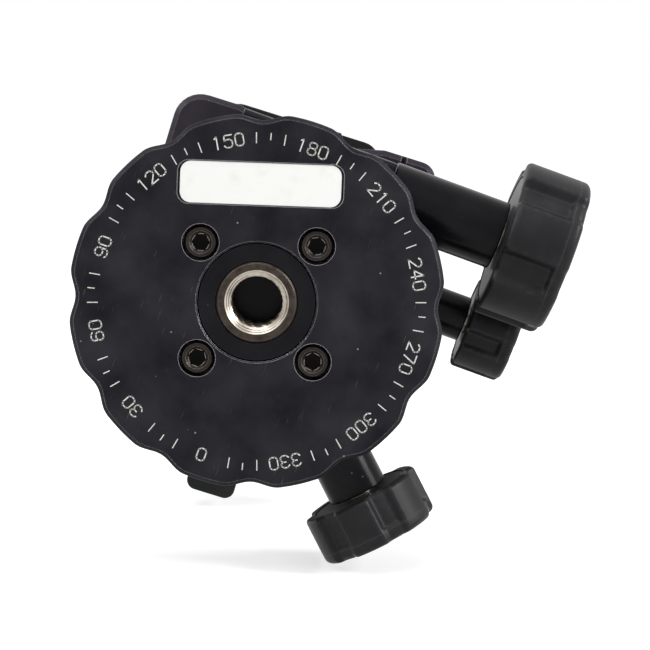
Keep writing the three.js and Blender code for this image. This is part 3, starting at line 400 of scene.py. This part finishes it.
def joint_axes(name):
    """A frame on a hinge: its Z along the axis, and its X down, or along X where the axis stands up."""
    z = Vector(joints[name]["axis"]).normalized()
    x = Vector((1, 0, 0)) if abs(z.z) > 0.5 else Vector((0, 0, -1))
    return axes_at(joints[name]["pos_m"], x, z.cross(x), z)


def clamp_axes():
    """The clamp's own frame: Z up, and its jaws open along Y."""
    y, z = Vector(joints["jaw_slide"]["axis"]).normalized(), Vector((0, 0, 1))
    return axes_at(joints["clamp_turn"]["pos_m"], y.cross(z), y, z)


def local_box(node, axes):
    """Lowest and highest corner of a node in a frame, and its largest radius about that frame's Z."""
    back = axes.inverted()
    points = [back @ v.co for v in frame["nodes"][node].data.vertices]
    low = Vector(min(p[i] for p in points) for i in range(3))
    high = Vector(max(p[i] for p in points) for i in range(3))
    return low, high, max(math.hypot(p.x, p.y) for p in points)


def centred(node, axes):
    """A frame moved across its Z, to the middle of a node."""
    low, high, _ = local_box(node, axes)
    return axes @ Matrix.Translation(((low.x + high.x) / 2, (low.y + high.y) / 2, 0))


def meridian(node, axes):
    """The outline of a turned node as points of radius and height, read along one of its meridians, and
    whether it closes on itself rather than ending on the axis."""
    mesh = frame["nodes"][node].data
    back = axes.inverted()
    keys = [tuple(round(c / mm, 3) for c in back @ v.co) for v in mesh.vertices]
    first = max(set(keys), key=lambda k: (math.hypot(k[0], k[1]), k))
    angle = math.atan2(first[1], first[0])
    axis_width, line_width = 0.002, 0.003  # in mm, for the rounded keys

    def on_line(key):
        across = abs(key[1] * math.cos(angle) - key[0] * math.sin(angle))
        along = key[0] * math.cos(angle) + key[1] * math.sin(angle)
        return math.hypot(key[0], key[1]) < axis_width or (across < line_width and along > 0)

    links = {}
    for edge in mesh.edges:
        a, b = keys[edge.vertices[0]], keys[edge.vertices[1]]
        if a != b and on_line(a) and on_line(b):
            links.setdefault(a, set()).add(b)
            links.setdefault(b, set()).add(a)
    ends = sorted(k for k in links if len(links[k]) == 1)
    here, last, chain = (ends or [first])[0], None, []
    while here is not None and here not in chain:
        chain.append(here)
        here, last = next((k for k in sorted(links[here]) if k != last and k not in chain), None), here
    return [(math.hypot(x, y) * mm, z * mm) for x, y, z in chain], not ends


# Meshes

def rounded(outline, closed, radius, steps=4):
    """The outline with a curve in place of each corner, which takes at most two fifths of a side."""
    side_share = 0.4
    flat = math.radians(150)
    points = [Vector(p) for p in outline]
    result = []
    for i, corner in enumerate(points):
        before, after = points[i - 1] - corner, points[(i + 1) % len(points)] - corner
        if not closed and i in (0, len(points) - 1) or before.angle(after) > flat:
            result.append(tuple(corner))
            continue
        back = min(radius / math.tan(before.angle(after) / 2), side_share * before.length,
                   side_share * after.length)
        start, end = corner + before.normalized() * back, corner + after.normalized() * back
        for step in range(steps + 1):
            t = step / steps
            result.append(tuple(start * (1 - t) ** 2 + corner * (2 * t * (1 - t)) + end * t ** 2))
    return result


def circle(radius, count, phase=0.0):
    """Points round a circle, counted from an angle."""
    angles = [phase + 2 * math.pi * i / count for i in range(count)]
    return [(radius * math.cos(a), radius * math.sin(a)) for a in angles]


def skinned(rings, closed, axes):
    """A bmesh through rings of a frame's points, any of which may be one point. A closed one also joins
    its last ring to its first."""
    bm = bmesh.new()
    rings = [[bm.verts.new(axes @ Vector(point)) for point in ring] for ring in rings]
    for low, high in zip(rings, rings[1:] + (rings[:1] if closed else [])):
        count = max(len(low), len(high))
        for i in range(count):
            j = (i + 1) % count
            if len(low) == 1:
                bm.faces.new((low[0], high[i], high[j]))
            elif len(high) == 1:
                bm.faces.new((low[i], low[j], high[0]))
            else:
                bm.faces.new((low[i], low[j], high[j], high[i]))
    return bm


def revolved(outline, closed, axes, segments):
    """A bmesh of an outline of radius and height turned about a frame's Z."""
    point = 1e-4 * mm  # a radius that counts as none
    return skinned([[(x, y, z) for x, y in (circle(radius, segments) if radius >= point else [(0, 0)])]
                    for radius, z in outline], closed, axes)


def sphere(radius, height, steps, axes):
    """A bmesh of a ball on a frame's Z, with this many steps from pole to pole."""
    angles = [math.pi * i / steps for i in range(steps + 1)]
    return revolved([(radius * math.sin(a), height - radius * math.cos(a)) for a in angles], False, axes,
                    2 * steps)


def lobed(profile, outline, axes, count):
    """A bmesh through rings that follow an outline of angle and height, or stand at their own radius.

    A profile entry is (inset, None, height), (None, radius, height) or (None, 0, height) for a point."""
    angles = [2 * math.pi * i / count for i in range(count)]
    rings = []
    for inset, radius, z in profile:
        radii = [radius if inset is None else outline(angle, z) - inset for angle in angles]
        rings.append([(0, 0, z)] if radius == 0 else
                     [(r * math.cos(angle), r * math.sin(angle), z) for r, angle in zip(radii, angles)])
    return skinned(rings, len(rings[0]) > 1, axes)


def prism(points, low, high, axes):
    """A bmesh of a flat outline raised between two heights of a frame."""
    bm = skinned([[(x, y, z) for x, y in points] for z in (low, high)], False, axes)
    verts = list(bm.verts)
    bm.faces.new(reversed(verts[:len(points)]))
    bm.faces.new(verts[len(points):])
    return bm


def quarter_round(radius, inset, height, rise, steps=5):
    """Profile entries of a quarter round at an edge: from a flat face up a wall, or from it over an edge."""
    entries = []
    for i in range(steps + 1):
        turn = math.pi / 2 * (i / steps if rise > 0 else 1 - i / steps)
        entries.append((inset + radius * (1 - math.sin(turn)), None,
                        height + rise * radius * (1 - math.cos(turn))))
    return entries


def carved(bm, *cutters):
    """A bmesh with the closed bmeshes of its cutters taken out of it."""
    pieces = []
    for source in (bm, *cutters):
        if source is not bm:
            bmesh.ops.recalc_face_normals(source, faces=source.faces)
        mesh = bpy.data.meshes.new("Blank")
        source.to_mesh(mesh)
        source.free()
        pieces.append(bpy.data.objects.new("Blank", mesh))
        bpy.context.scene.collection.objects.link(pieces[-1])
    for tool in pieces[1:]:
        cut = pieces[0].modifiers.new("Cut", "BOOLEAN")
        cut.object = tool
        cut.operation = "DIFFERENCE"
        cut.solver = "EXACT"
    result = bmesh.new()
    result.from_object(pieces[0], bpy.context.evaluated_depsgraph_get())
    for piece in pieces:
        mesh = piece.data
        bpy.data.objects.remove(piece)
        bpy.data.meshes.remove(mesh)
    return result


# Pieces

def add_piece(name, bm, body, slot, finish=None, smooth_angle=38):
    """A piece from a bmesh, smooth up to an angle. It rides on a body, and takes its finish from a slot
    unless it shows another."""
    bmesh.ops.recalc_face_normals(bm, faces=bm.faces)
    mesh = bpy.data.meshes.new(name)
    bm.to_mesh(mesh)
    bm.free()
    mesh.shade_smooth()
    mesh.set_sharp_from_angle(angle=math.radians(smooth_angle))
    mesh.materials.append(finishes[finish or slot])
    piece = bpy.data.objects.new(name, mesh)
    bpy.context.scene.collection.objects.link(piece)
    piece.modifiers.new("Even shading", "WEIGHTED_NORMAL").keep_sharp = True
    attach(piece, body)
    return piece


def stand_in(name, node, bm, finish=None, smooth_angle=38):
    """A piece that stands for a node, on its body, with its slot's finish unless it shows another."""
    piece = add_piece(name, bm, body_of[node], slot_of[node], finish, smooth_angle)
    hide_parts(node)
    return piece


def break_edges(piece, width, angle, segments):
    """Gives a piece's edges a narrow round, before its shading is evened."""
    bevel = piece.modifiers.new("Edge break", "BEVEL")
    bevel.width = width
    bevel.segments = segments
    bevel.limit_method = "ANGLE"
    bevel.angle_limit = math.radians(angle)
    piece.modifiers.move(len(piece.modifiers) - 1, 0)


def turned_piece(node, axes, radius, segments=96, finish=None):
    """A turned node made again with fine steps and rounded corners."""
    outline, closed = meridian(node, axes)
    bm = revolved(rounded(outline, closed, radius), closed, axes, segments)
    return stand_in(node + "_turned", node, bm, finish)


def milled_piece(node, width, segments=2, finish=None):
    """A node made again with its flat faces joined and its edges broken."""
    bm = bmesh.new()
    bm.from_mesh(frame["nodes"][node].data)
    bmesh.ops.remove_doubles(bm, verts=bm.verts, dist=0.002 * mm)
    bmesh.ops.dissolve_limit(bm, angle_limit=math.radians(1.5), verts=bm.verts, edges=bm.edges)
    piece = stand_in(node + "_milled", node, bm, finish, 33)
    break_edges(piece, width, 33, segments)


def socket_screw(node, axes, head_height, shank, across, depth, soft):
    """A screw with a broken head edge and a countersunk hexagon socket, its tip up a frame's Z."""
    low, high, head = local_box(node, axes)
    chamfer = 1.4 * soft
    outline = [(0, low.z), (head - chamfer, low.z), (head, low.z + chamfer), (head, low.z + head_height),
               (shank, low.z + head_height), (shank, high.z - soft), (shank - soft, high.z), (0, high.z)]
    corner = across / 2 / math.cos(math.pi / 6)
    floor = low.z + depth
    socket = prism(circle(corner, 6, math.radians(9)), low.z - mm, floor, axes)
    drilled = revolved([(0, floor - soft), (0.4 * across, floor - soft), (0.4 * across, floor),
                        (0, floor + 0.2 * across)], False, axes, 24)
    rise = 1.6 * soft
    cone = revolved([(0, low.z - rise), (corner + 2 * rise, low.z - rise), (0.95 * corner, low.z + rise),
                     (0, low.z + rise)], False, axes, 36)
    bm = carved(revolved(outline, False, axes, 48), socket, drilled, cone)
    piece = stand_in(node + "_socketed", node, bm, smooth_angle=28)
    # The socket's inside takes near-black steel as painted shade
    piece.data.materials.append(finishes["socket_shade_steel"])
    back = axes.inverted()
    for face in piece.data.polygons:
        place = back @ face.center
        face.material_index = int(math.hypot(place.x, place.y) < corner
                                  and low.z + 1.05 * rise < place.z < floor + 0.3 * across)
    break_edges(piece, 0.3 * soft, 45, 1)


class BALLHEAD_OT_finishes(bpy.types.Operator):
    """Makes the finishes and gives each solid its own"""

    bl_idname = "ball_head.finishes"
    bl_label = "Finishes"

    def execute(self, context):
        finishes.update(make_materials(context.scene.ball_head.colours))
        for node, slot in slot_of.items():
            materials = frame["nodes"][node].data.materials
            materials.clear()
            materials.append(finishes[slot])
        return {"FINISHED"}


# Base: plate, degree ring, tripod bush, screws and label

def scalloped_radius(angle, crest, sizes):
    """Radius of the base plate's rim at an angle."""
    pitch = 2 * math.pi / sizes.scallops
    from_valley = abs((angle - sizes.first_scallop + pitch / 2) % pitch - pitch / 2)
    across = from_valley / (pitch * sizes.scallop_share)
    return crest - (sizes.scallop_depth * (1 + math.cos(math.pi * across)) / 2 if across < 1 else 0)


def label_pocket(gap, depth):
    """The cutter for the shallow pocket that the label lies in."""
    mesh = frame["nodes"]["label_plate"].data
    flat = sorted({(round(v.co.x, 7), round(v.co.y, 7)) for v in mesh.vertices})
    centre = Vector((sum(p[0] for p in flat), sum(p[1] for p in flat))) / len(flat)
    ring = sorted(flat, key=lambda p: math.atan2(p[1] - centre.y, p[0] - centre.x))
    points = [Vector(p) + (Vector(p) - centre).normalized() * gap for p in ring]
    return prism([tuple(p) for p in points], -mm, depth, upright)


class BALLHEAD_OT_base_plate(bpy.types.Operator):
    """Makes the scalloped base plate with its counterbores and the label's pocket, and the pan drum"""

    bl_idname = "ball_head.base_plate"
    bl_label = "Base plate"

    def execute(self, context):
        sizes = context.scene.ball_head.sizes
        pocket_depth, counterbore_depth = 0.45 * mm, 3.1 * mm
        rim_steps, counterbore_steps = 720, 48
        _, high, crest = local_box("base_plate", upright)
        boss, bevel, soft = sizes.boss_radius, sizes.rim_bevel, sizes.edge_break
        profile = [
            (None, boss, soft), (None, boss + soft, 0),
            (bevel + soft / 2, None, 0), (bevel, None, soft / 4), (soft / 4, None, bevel),
            (0, None, bevel + soft / 2), (0, None, high.z - bevel - soft / 2),
            (soft / 4, None, high.z - bevel), (bevel, None, high.z - soft / 4),
            (bevel + soft / 2, None, high.z), (None, boss, high.z),
        ]
        blank = lobed(profile, lambda angle, _: scalloped_radius(angle, crest, sizes), upright, rim_steps)
        cutters = [label_pocket(sizes.label_gap, pocket_depth)]
        for node in base_screws:
            low, high, _ = local_box(node, upright)
            hole = circle((high.x - low.x) / 2 + sizes.screw_gap, counterbore_steps)
            cutters.append(prism(hole, -mm, low.z + counterbore_depth, centred(node, upright)))
        piece = stand_in("base_plate_scalloped", "base_plate", carved(blank, *cutters), "rim_highlight_anodised", 20)
        break_edges(piece, 0.5 * soft, 50, 1)
        milled_piece("pan_drum", 0.5 * soft, finish="painted_shade_anodised")
        return {"FINISHED"}


# Strokes of the plain digits, on a grid 4 wide and 6 high, each stroke from point to point
digit_strokes = {
    "0": [[(1, 0), (3, 0), (4, 1), (4, 5), (3, 6), (1, 6), (0, 5), (0, 1), (1, 0)]],
    "1": [[(1.2, 5.2), (2.2, 6), (2.2, 0)]],
    "2": [[(0, 5), (1, 6), (3, 6), (4, 5), (4, 3.8), (0, 0), (4, 0)]],
    "3": [[(0, 5), (1, 6), (3, 6), (4, 5), (4, 4), (3, 3.2), (1.6, 3.2)],
          [(3, 3.2), (4, 2.2), (4, 1), (3, 0), (1, 0), (0, 1)]],
    "4": [[(3, 0), (3, 6), (0, 1.8), (4, 1.8)]],
    "5": [[(4, 6), (0.4, 6), (0.2, 3.4), (1.2, 3.9), (3, 3.9), (4, 2.9), (4, 1), (3, 0), (1, 0), (0, 1)]],
    "6": [[(4, 5.2), (3, 6), (1, 6), (0, 5), (0, 1), (1, 0), (3, 0), (4, 1), (4, 2.6), (3, 3.6), (1, 3.6),
           (0, 2.6)]],
    "7": [[(0, 6), (4, 6), (1.4, 0)]],
    "8": [[(1, 3.2), (0.2, 4.1), (0.2, 5.2), (1, 6), (3, 6), (3.8, 5.2), (3.8, 4.1), (3, 3.2), (1, 3.2),
           (0, 2.3), (0, 0.9), (1, 0), (3, 0), (4, 0.9), (4, 2.3), (3, 3.2)]],
    "9": [[(0, 0.8), (1, 0), (3, 0), (4, 1), (4, 5), (3, 6), (1, 6), (0, 5), (0, 3.4), (1, 2.4), (3, 2.4),
           (4, 3.4)]],
}


def stroke_faces(bm, points, width, place):
    """Flat ribbons along a line of points, with an overlap at its bends."""
    for start, end in zip(points, points[1:]):
        start, end = Vector(start), Vector(end)
        along = (end - start).normalized() * width / 2
        across = Vector((-along.y, along.x))
        corners = (start - along - across, end + along - across, end + along + across, start - along + across)
        bm.faces.new([bm.verts.new(place @ Vector((p.x, p.y, 0))) for p in corners])


class BALLHEAD_OT_degree_ring(bpy.types.Operator):
    """Makes the engraved ring of ticks and plain numbers on the underside of the base"""

    bl_idname = "ball_head.degree_ring"
    bl_label = "Degree ring"

    def execute(self, context):
        sizes = context.scene.ball_head.sizes
        below = 0.006 * mm  # keeps the paint clear of the plate's face
        unit = sizes.digit_height / 6
        pitch, indent = 5.6 * unit, 0.8 * unit
        bm = bmesh.new()
        for degrees in range(0, 360, 5):
            turn = Matrix.Rotation(math.radians(degrees), 4, "Z") @ Matrix.Translation(
                (0, sizes.dial_radius, -below)) @ Matrix.Diagonal((-1, 1, 1, 1))
            if degrees % 30 in (5, 25):
                continue
            if degrees % 30:
                reach = sizes.digit_height * (0.5 if degrees % 10 else 0.8)
                stroke_faces(bm, [(0, sizes.digit_height / 2 - reach), (0, sizes.digit_height / 2)],
                             sizes.stroke * 0.8, turn)
                continue
            text = str(degrees)
            for i, digit in enumerate(text):
                left = (i - len(text) / 2) * pitch + indent
                for line in digit_strokes[digit]:
                    points = [(left + x * unit, (y - 3) * unit) for x, y in line]
                    stroke_faces(bm, points, sizes.stroke, turn)
        add_piece("degree_ring", bm, "base", "label", "marks")
        return {"FINISHED"}


class BALLHEAD_OT_tripod_bush(bpy.types.Operator):
    """Makes the tripod bush with its cut thread"""

    bl_idname = "ball_head.tripod_bush"
    bl_label = "Tripod bush"

    def execute(self, context):
        sizes = context.scene.ball_head.sizes
        steps, countersink_rows, rows_per_turn, ridges = 64, 30, 16, 3
        half_groove, flank = 0.42, 0.34  # shares of the thread's pitch
        low, high, outer = local_box("tripod_bush", upright)
        bore, mouth, soft = sizes.thread_bore, sizes.thread_mouth, sizes.edge_break
        countersink = mouth - bore
        rings = [[(*p, z) for p in circle(r, steps)] for r, z in (
            (outer - 1.6 * soft, low.z), (outer, low.z + 1.6 * soft), (outer, high.z - soft),
            (outer - soft, high.z))]
        heights = [low.z + countersink * row / countersink_rows for row in range(countersink_rows)]
        threaded = high.z - heights[-1]
        count = int(rows_per_turn * threaded / sizes.thread_pitch)
        heights += [heights[-1] + threaded * (row + 1) / count for row in range(count)]
        for z in reversed(heights):
            ridge = sizes.cut_ridge * abs(math.sin(ridges * math.pi * (z - low.z) / countersink))
            ring = []
            for i in range(steps):
                angle = 2 * math.pi * i / steps
                phase = ((z - low.z) / sizes.thread_pitch - i / steps) % 1
                groove = max(0.0, min(1.0, (half_groove - abs(phase - 0.5)) / flank))
                radius = max(bore + sizes.thread_depth * groove, mouth - ridge - (z - low.z))
                ring.append((radius * math.cos(angle), radius * math.sin(angle), z))
            rings.append(ring)
        piece = stand_in("tripod_bush_threaded", "tripod_bush", skinned(rings, True, upright),
                         smooth_angle=42)
        # The face takes the darker steel: brown stain and painted shade for its dark reflection
        piece.data.materials.append(finishes["stained_steel"])
        for face in piece.data.polygons:
            face.material_index = int(math.hypot(*face.center[:2]) > mouth)
        return {"FINISHED"}


class BALLHEAD_OT_base_screws(bpy.types.Operator):
    """Makes the four socket screws of the base and the blank label"""

    bl_idname = "ball_head.base_screws"
    bl_label = "Base screws and label"

    def execute(self, context):
        sizes = context.scene.ball_head.sizes
        for i, node in enumerate(base_screws):
            turn = Matrix.Rotation(math.radians(47 * i), 4, "Z")  # no two sockets stand alike
            socket_screw(node, centred(node, upright) @ turn, head_height=3 * mm, shank=1.6 * mm,
                         across=sizes.base_socket, depth=sizes.socket_depth, soft=sizes.edge_break)
        milled_piece("label_plate", 0.06 * mm, 1)
        return {"FINISHED"}


# Housing, necks and knobs

class BALLHEAD_OT_housing(bpy.types.Operator):
    """Makes the housing with its rings, and the necks and screws of the three knobs"""

    bl_idname = "ball_head.housing"
    bl_label = "Housing"

    def execute(self, context):
        sizes = context.scene.ball_head.sizes
        milled_piece("housing", sizes.edge_break)
        milled_piece("pan_retaining_ring", 0.5 * sizes.edge_break)
        milled_piece("upper_ball_seat", 0.5 * sizes.edge_break)
        for name in ("main_lock", "tension", "pan_lock"):
            axes = joint_axes(name + "_turn")
            turned_piece(name + "_neck", axes, sizes.corner_radius, finish="painted_shade_anodised")
            turned_piece(name + "_screw", axes, sizes.corner_radius, 48)
        return {"FINISHED"}


def eased(t):
    """A share from 0 to 1 that starts and ends gently."""
    t = max(0.0, min(1.0, t))
    return t * t * (3 - 2 * t)


def knob_outline(crest, valley, phase, near, sizes):
    """The function that gives a grip's radius at an angle and height: six wide lobes with rounded steps
    between, and valleys that get shallower at the outer band."""
    pitch = 2 * math.pi / sizes.lobes
    half_crest = pitch * sizes.crest_share / 2
    ramp = pitch * sizes.ramp_share

    def radius(angle, height):
        from_crest = abs((angle - phase + pitch / 2) % pitch - pitch / 2)
        share = 1 - (1 - sizes.valley_share) * eased((height - near) / sizes.valley_ramp + 1)
        return crest - valley * share * eased((from_crest - half_crest) / ramp)

    return radius


def grip_skin(node, hub, axes, valley, edge, phase, sizes):
    """The skin of a rubber grip: pocket for the hub, rounded edges, a mould step and a dished cap."""
    low, high, crest = local_box(node, axes)
    _, hub_high, hub_radius = local_box(hub, axes)
    play, ramp_steps, angle_steps = 0.1 * mm, 6, 360
    pocket, hub_top = hub_radius + play, hub_high.z + play
    step = sizes.mould_step
    near = high.z - sizes.cap_band
    dish = 0.62 * crest
    ramp = [(0, None, near - step - sizes.valley_ramp * (1 - i / ramp_steps)) for i in range(ramp_steps)]
    profile = [
        (None, 0, hub_top), (None, pocket, hub_top), (None, pocket, low.z + step),
        (None, pocket + step, low.z), *quarter_round(edge * 0.7, 0, low.z, 1), *ramp,
        (0, None, near - step), (step, None, near), (step, None, near + 0.5 * step),
        (0.35 * step, None, near + 1.2 * step), *quarter_round(edge, 0.35 * step, high.z, -1),
        (None, dish + 2 * step, high.z), (None, dish, high.z - 1.5 * step),
        (None, 0.2 * dish, high.z - 2.2 * step), (None, 0, high.z - 2.2 * step),
    ]
    return lobed(profile, knob_outline(crest, valley, phase, near - step, sizes), axes, angle_steps)


class BALLHEAD_OT_knobs(bpy.types.Operator):
    """Makes the rubber grips and the hubs of the three knobs"""

    bl_idname = "ball_head.knobs"
    bl_label = "Knobs"

    def execute(self, context):
        sizes = context.scene.ball_head.sizes
        for name, joint, valley, edge, phase in (
                ("main", "main_lock_turn", 1.4 * mm, 1.2 * mm, -12),
                ("tension", "tension_turn", 0.9 * mm, 0.9 * mm, -12),
                ("pan", "pan_lock_turn", 1.1 * mm, 1.0 * mm, 11)):
            axes = joint_axes(joint)
            grip, hub = f"{name}_knob_grip", f"{name}_knob_hub"
            skin = grip_skin(grip, hub, axes, valley, edge, math.radians(phase), sizes)
            stand_in(f"{name}_grip_moulded", grip, skin, smooth_angle=30)
            turned_piece(hub, axes, sizes.corner_radius)
        return {"FINISHED"}


# Ball and stem

class BALLHEAD_OT_ball_and_stem(bpy.types.Operator):
    """Makes the ball and the stem that carries the clamp"""

    bl_idname = "ball_head.ball_and_stem"
    bl_label = "Ball and stem"

    def execute(self, context):
        sizes = context.scene.ball_head.sizes
        low, high, _ = local_box("ball", upright)
        radius = (high.z - low.z) / 2 - sizes.ball_relief
        stand_in("ball_turned", "ball", sphere(radius, (low.z + high.z) / 2, 64, upright))
        for node in ("ball_stem", "stem_collar"):
            turned_piece(node, upright, sizes.corner_radius)
        return {"FINISHED"}


# Clamp

def add_bubble(place, top, radius):
    """The level's bubble and the ring printed on its glass."""
    squash = Matrix.Translation((0.3 * mm, 0.2 * mm, top - 0.55 * mm)) @ Matrix.Diagonal((1, 1, 0.3, 1))
    add_piece("level_bubble", sphere(radius, 0, 16, place @ squash), "clamp", "vial", "label")
    inner, width = radius * 1.25, 0.18 * mm
    low, high = top + 0.01 * mm, top + 0.03 * mm
    ring = revolved([(inner, low), (inner + width, low), (inner + width, high), (inner, high)], True, place,
                    64)
    add_piece("level_ring", ring, "clamp", "knob_hub")


class BALLHEAD_OT_clamp(bpy.types.Operator):
    """Makes the plate clamp: body, jaws, key, screws, bolt and level"""

    bl_idname = "ball_head.clamp"
    bl_label = "Clamp"

    def execute(self, context):
        sizes = context.scene.ball_head.sizes
        soft = sizes.edge_break
        milled_piece("clamp_body", soft)
        milled_piece("fixed_jaw", 1.4 * soft, 3)
        milled_piece("jaw_key", 0.8 * soft)
        milled_piece("sliding_jaw", 1.4 * soft, 3)
        axes = clamp_axes()
        for node in ("fixed_jaw_screw_1", "fixed_jaw_screw_2"):
            socket_screw(node, centred(node, axes), head_height=2.3 * mm, shank=1.5 * mm,
                         across=sizes.jaw_socket, depth=1.4 * mm, soft=soft)
        top = Matrix.Translation((0, 0, local_box("clamp_bolt", axes)[1].z))
        flipped = axes @ top @ Matrix.Rotation(math.pi, 4, "X")
        socket_screw("clamp_bolt", flipped, head_height=2.5 * mm, shank=3 * mm, across=sizes.bolt_socket,
                     depth=1.8 * mm, soft=soft)
        for node in ("level_cup", "level_vial"):
            turned_piece(node, centred(node, axes), 0.5 * sizes.corner_radius)
        add_bubble(centred("level_vial", axes), local_box("level_vial", axes)[1].z, sizes.bubble_radius)
        return {"FINISHED"}


class BALLHEAD_OT_lever(bpy.types.Operator):
    """Makes the release lever, its cam and its pin"""

    bl_idname = "ball_head.lever"
    bl_label = "Release lever"

    def execute(self, context):
        soft = context.scene.ball_head.sizes.edge_break
        milled_piece("release_lever", 2 * soft, 3)
        milled_piece("lever_cam", 0.6 * soft)
        turned_piece("lever_pin", joint_axes("lever_swing"), 0.5 * soft, 48)
        return {"FINISHED"}


# Studio

class BALLHEAD_OT_studio(bpy.types.Operator):
    """Sets the camera, the floor, the lamps and the white surroundings"""

    bl_idname = "ball_head.studio"
    bl_label = "Studio"

    def execute(self, context):
        view = context.scene.ball_head.view
        to_world, place = camera_frame(view)
        camera = bpy.data.objects.new("Camera", bpy.data.cameras.new("Camera"))
        context.scene.collection.objects.link(camera)
        right, down, forward = (to_world @ Vector(axis) for axis in ((1, 0, 0), (0, 1, 0), (0, 0, 1)))
        camera.matrix_world = axes_at(place, right, -down, -forward)
        camera.data.sensor_width = view.sensor_mm
        camera.data.lens = view.sensor_mm * view.focal_px / px_wide
        camera.data.clip_start = 0.01
        context.scene.camera = camera
        gravity = (to_world @ Vector((0, math.cos(view.down_angle), math.sin(view.down_angle)))).normalized()
        add_floor(place + gravity * view.floor_drop, gravity)
        add_lamps(Vector(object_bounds()[0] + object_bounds()[1]) / 2, gravity, right, forward)
        add_surroundings(context.scene)
        context.scene.view_settings.view_transform = "Standard"
        return {"FINISHED"}


def camera_frame(view):
    """The turn from the camera's right, down and forward to the head's frame, and the camera's place."""
    z = Vector(view.axis).normalized()
    x = Vector((math.cos(view.knob_angle), math.sin(view.knob_angle), 0))
    x.z = -(x.x * z.x + x.y * z.y) / z.z
    x.normalize()
    to_world = Matrix((x, z.cross(x), z))
    return to_world, -(to_world @ Vector(view.base_centre))


def shown(tree):
    """1 for what the camera sees, also in gloss and through glass, and 0 for the light on other surfaces."""
    path = add_node(tree, "LightPath").outputs
    seen = add_node(tree, "Math", {0: path["Is Camera Ray"], 1: path["Is Transmission Ray"]},
                    operation="MAXIMUM")
    return add_node(tree, "Math", {0: seen, 1: path["Is Glossy Ray"]}, operation="MAXIMUM")


def pale_paper(tree):
    """Matt paper that glows less near the head, so that the shadow shows on it. It is clear from below."""
    under = add_node(tree, "NewGeometry").outputs["Backfacing"]
    place = add_node(tree, "TexCoord").outputs["Object"]
    away = add_node(tree, "VectorMath", {0: place}, operation="LENGTH")
    glow = add_node(tree, "MapRange", {"Value": away, "From Min": 0.12, "From Max": 0.55, "To Min": 0.22,
                                       "To Max": 0.84})
    lift = add_node(tree, "Math", {0: shown(tree), 1: glow}, operation="MULTIPLY")
    paper = add_node(tree, "BsdfDiffuse", {"Color": linear("#c8c8c8")})
    shine = add_node(tree, "Emission", {"Color": linear("#ffffff"), "Strength": lift})
    lifted = add_node(tree, "AddShader", {0: paper, 1: shine})
    return add_node(tree, "MixShader", {0: under, 1: lifted, 2: add_node(tree, "BsdfTransparent")})


def add_floor(foot, gravity):
    """A pale floor under the head as it lies in the photograph."""
    bm = bmesh.new()
    bmesh.ops.create_grid(bm, x_segments=1, y_segments=1, size=4)
    mesh = bpy.data.meshes.new("Floor")
    bm.to_mesh(mesh)
    bm.free()
    mesh.materials.append(new_material("Paper sweep", pale_paper))
    floor = bpy.data.objects.new("Floor", mesh)
    bpy.context.scene.collection.objects.link(floor)
    floor.matrix_world = Matrix.Translation(foot) @ (-gravity).to_track_quat("Z", "Y").to_matrix().to_4x4()
    floor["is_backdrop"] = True


def add_lamps(centre, gravity, right, forward):
    """A softbox above the head and before it, and a smaller one at each side that draws the edges."""
    distance = 0.9
    for name, direction, size, power in (
            ("Softbox", -gravity - forward * 0.5 - right * 0.2, 0.7, 5.1),
            ("Right light", right - gravity * 0.5 - forward * 0.33, 0.3, 7.6),
            ("Left light", -right - gravity * 0.8, 0.3, 3.2),
    ):
        lamp = bpy.data.lights.new(name, "AREA")
        lamp.shape = "SQUARE"
        lamp.size = size
        lamp.energy = power
        holder = bpy.data.objects.new(name, lamp)
        bpy.context.scene.collection.objects.link(holder)
        away = direction.normalized()
        holder.matrix_world = (Matrix.Translation(centre + away * distance)
                               @ away.to_track_quat("Z", "Y").to_matrix().to_4x4())


def add_surroundings(scene):
    """White for the camera and for gloss and glass, and a plain soft light for the rest."""
    world = bpy.data.worlds.new("Studio")
    world.use_nodes = True
    tree = world.node_tree
    tree.nodes.clear()
    soft, white = (add_node(tree, "Background", {"Color": linear("#ffffff"), "Strength": strength})
                   for strength in (0.36, 1.0))
    mixed = add_node(tree, "MixShader", {0: shown(tree), 1: soft, 2: white})
    add_node(tree, "OutputWorld", {"Surface": mixed})
    scene.world = world


def main():
    """Registers the add-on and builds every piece."""
    register()
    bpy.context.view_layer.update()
    for step in (
            bpy.ops.ball_head.finishes,
            bpy.ops.ball_head.base_plate,
            bpy.ops.ball_head.degree_ring,
            bpy.ops.ball_head.tripod_bush,
            bpy.ops.ball_head.base_screws,
            bpy.ops.ball_head.housing,
            bpy.ops.ball_head.knobs,
            bpy.ops.ball_head.ball_and_stem,
            bpy.ops.ball_head.clamp,
            bpy.ops.ball_head.lever,
            bpy.ops.ball_head.studio,
    ):
        step()


class BALLHEAD_PT_pieces(bpy.types.Panel):
    """Lists the steps that build the ball head"""

    bl_idname = "BALLHEAD_PT_pieces"
    bl_label = "Ball head"
    bl_space_type = "VIEW_3D"
    bl_region_type = "UI"
    bl_category = "Ball head"

    def draw(self, context):
        for operator in operators:
            self.layout.operator(operator.bl_idname)


operators = (
    BALLHEAD_OT_finishes, BALLHEAD_OT_base_plate, BALLHEAD_OT_degree_ring, BALLHEAD_OT_tripod_bush,
    BALLHEAD_OT_base_screws, BALLHEAD_OT_housing, BALLHEAD_OT_knobs, BALLHEAD_OT_ball_and_stem,
    BALLHEAD_OT_clamp, BALLHEAD_OT_lever, BALLHEAD_OT_studio,
)
classes = (BallHeadSizes, BallHeadColours, BallHeadView, BallHead, *operators, BALLHEAD_PT_pieces)


def register():
    for cls in classes:
        bpy.utils.register_class(cls)
    bpy.types.Scene.ball_head = bpy.props.PointerProperty(type=BallHead)


def unregister():
    del bpy.types.Scene.ball_head
    for cls in reversed(classes):
        bpy.utils.unregister_class(cls)


if __name__ == "__main__":
    main()
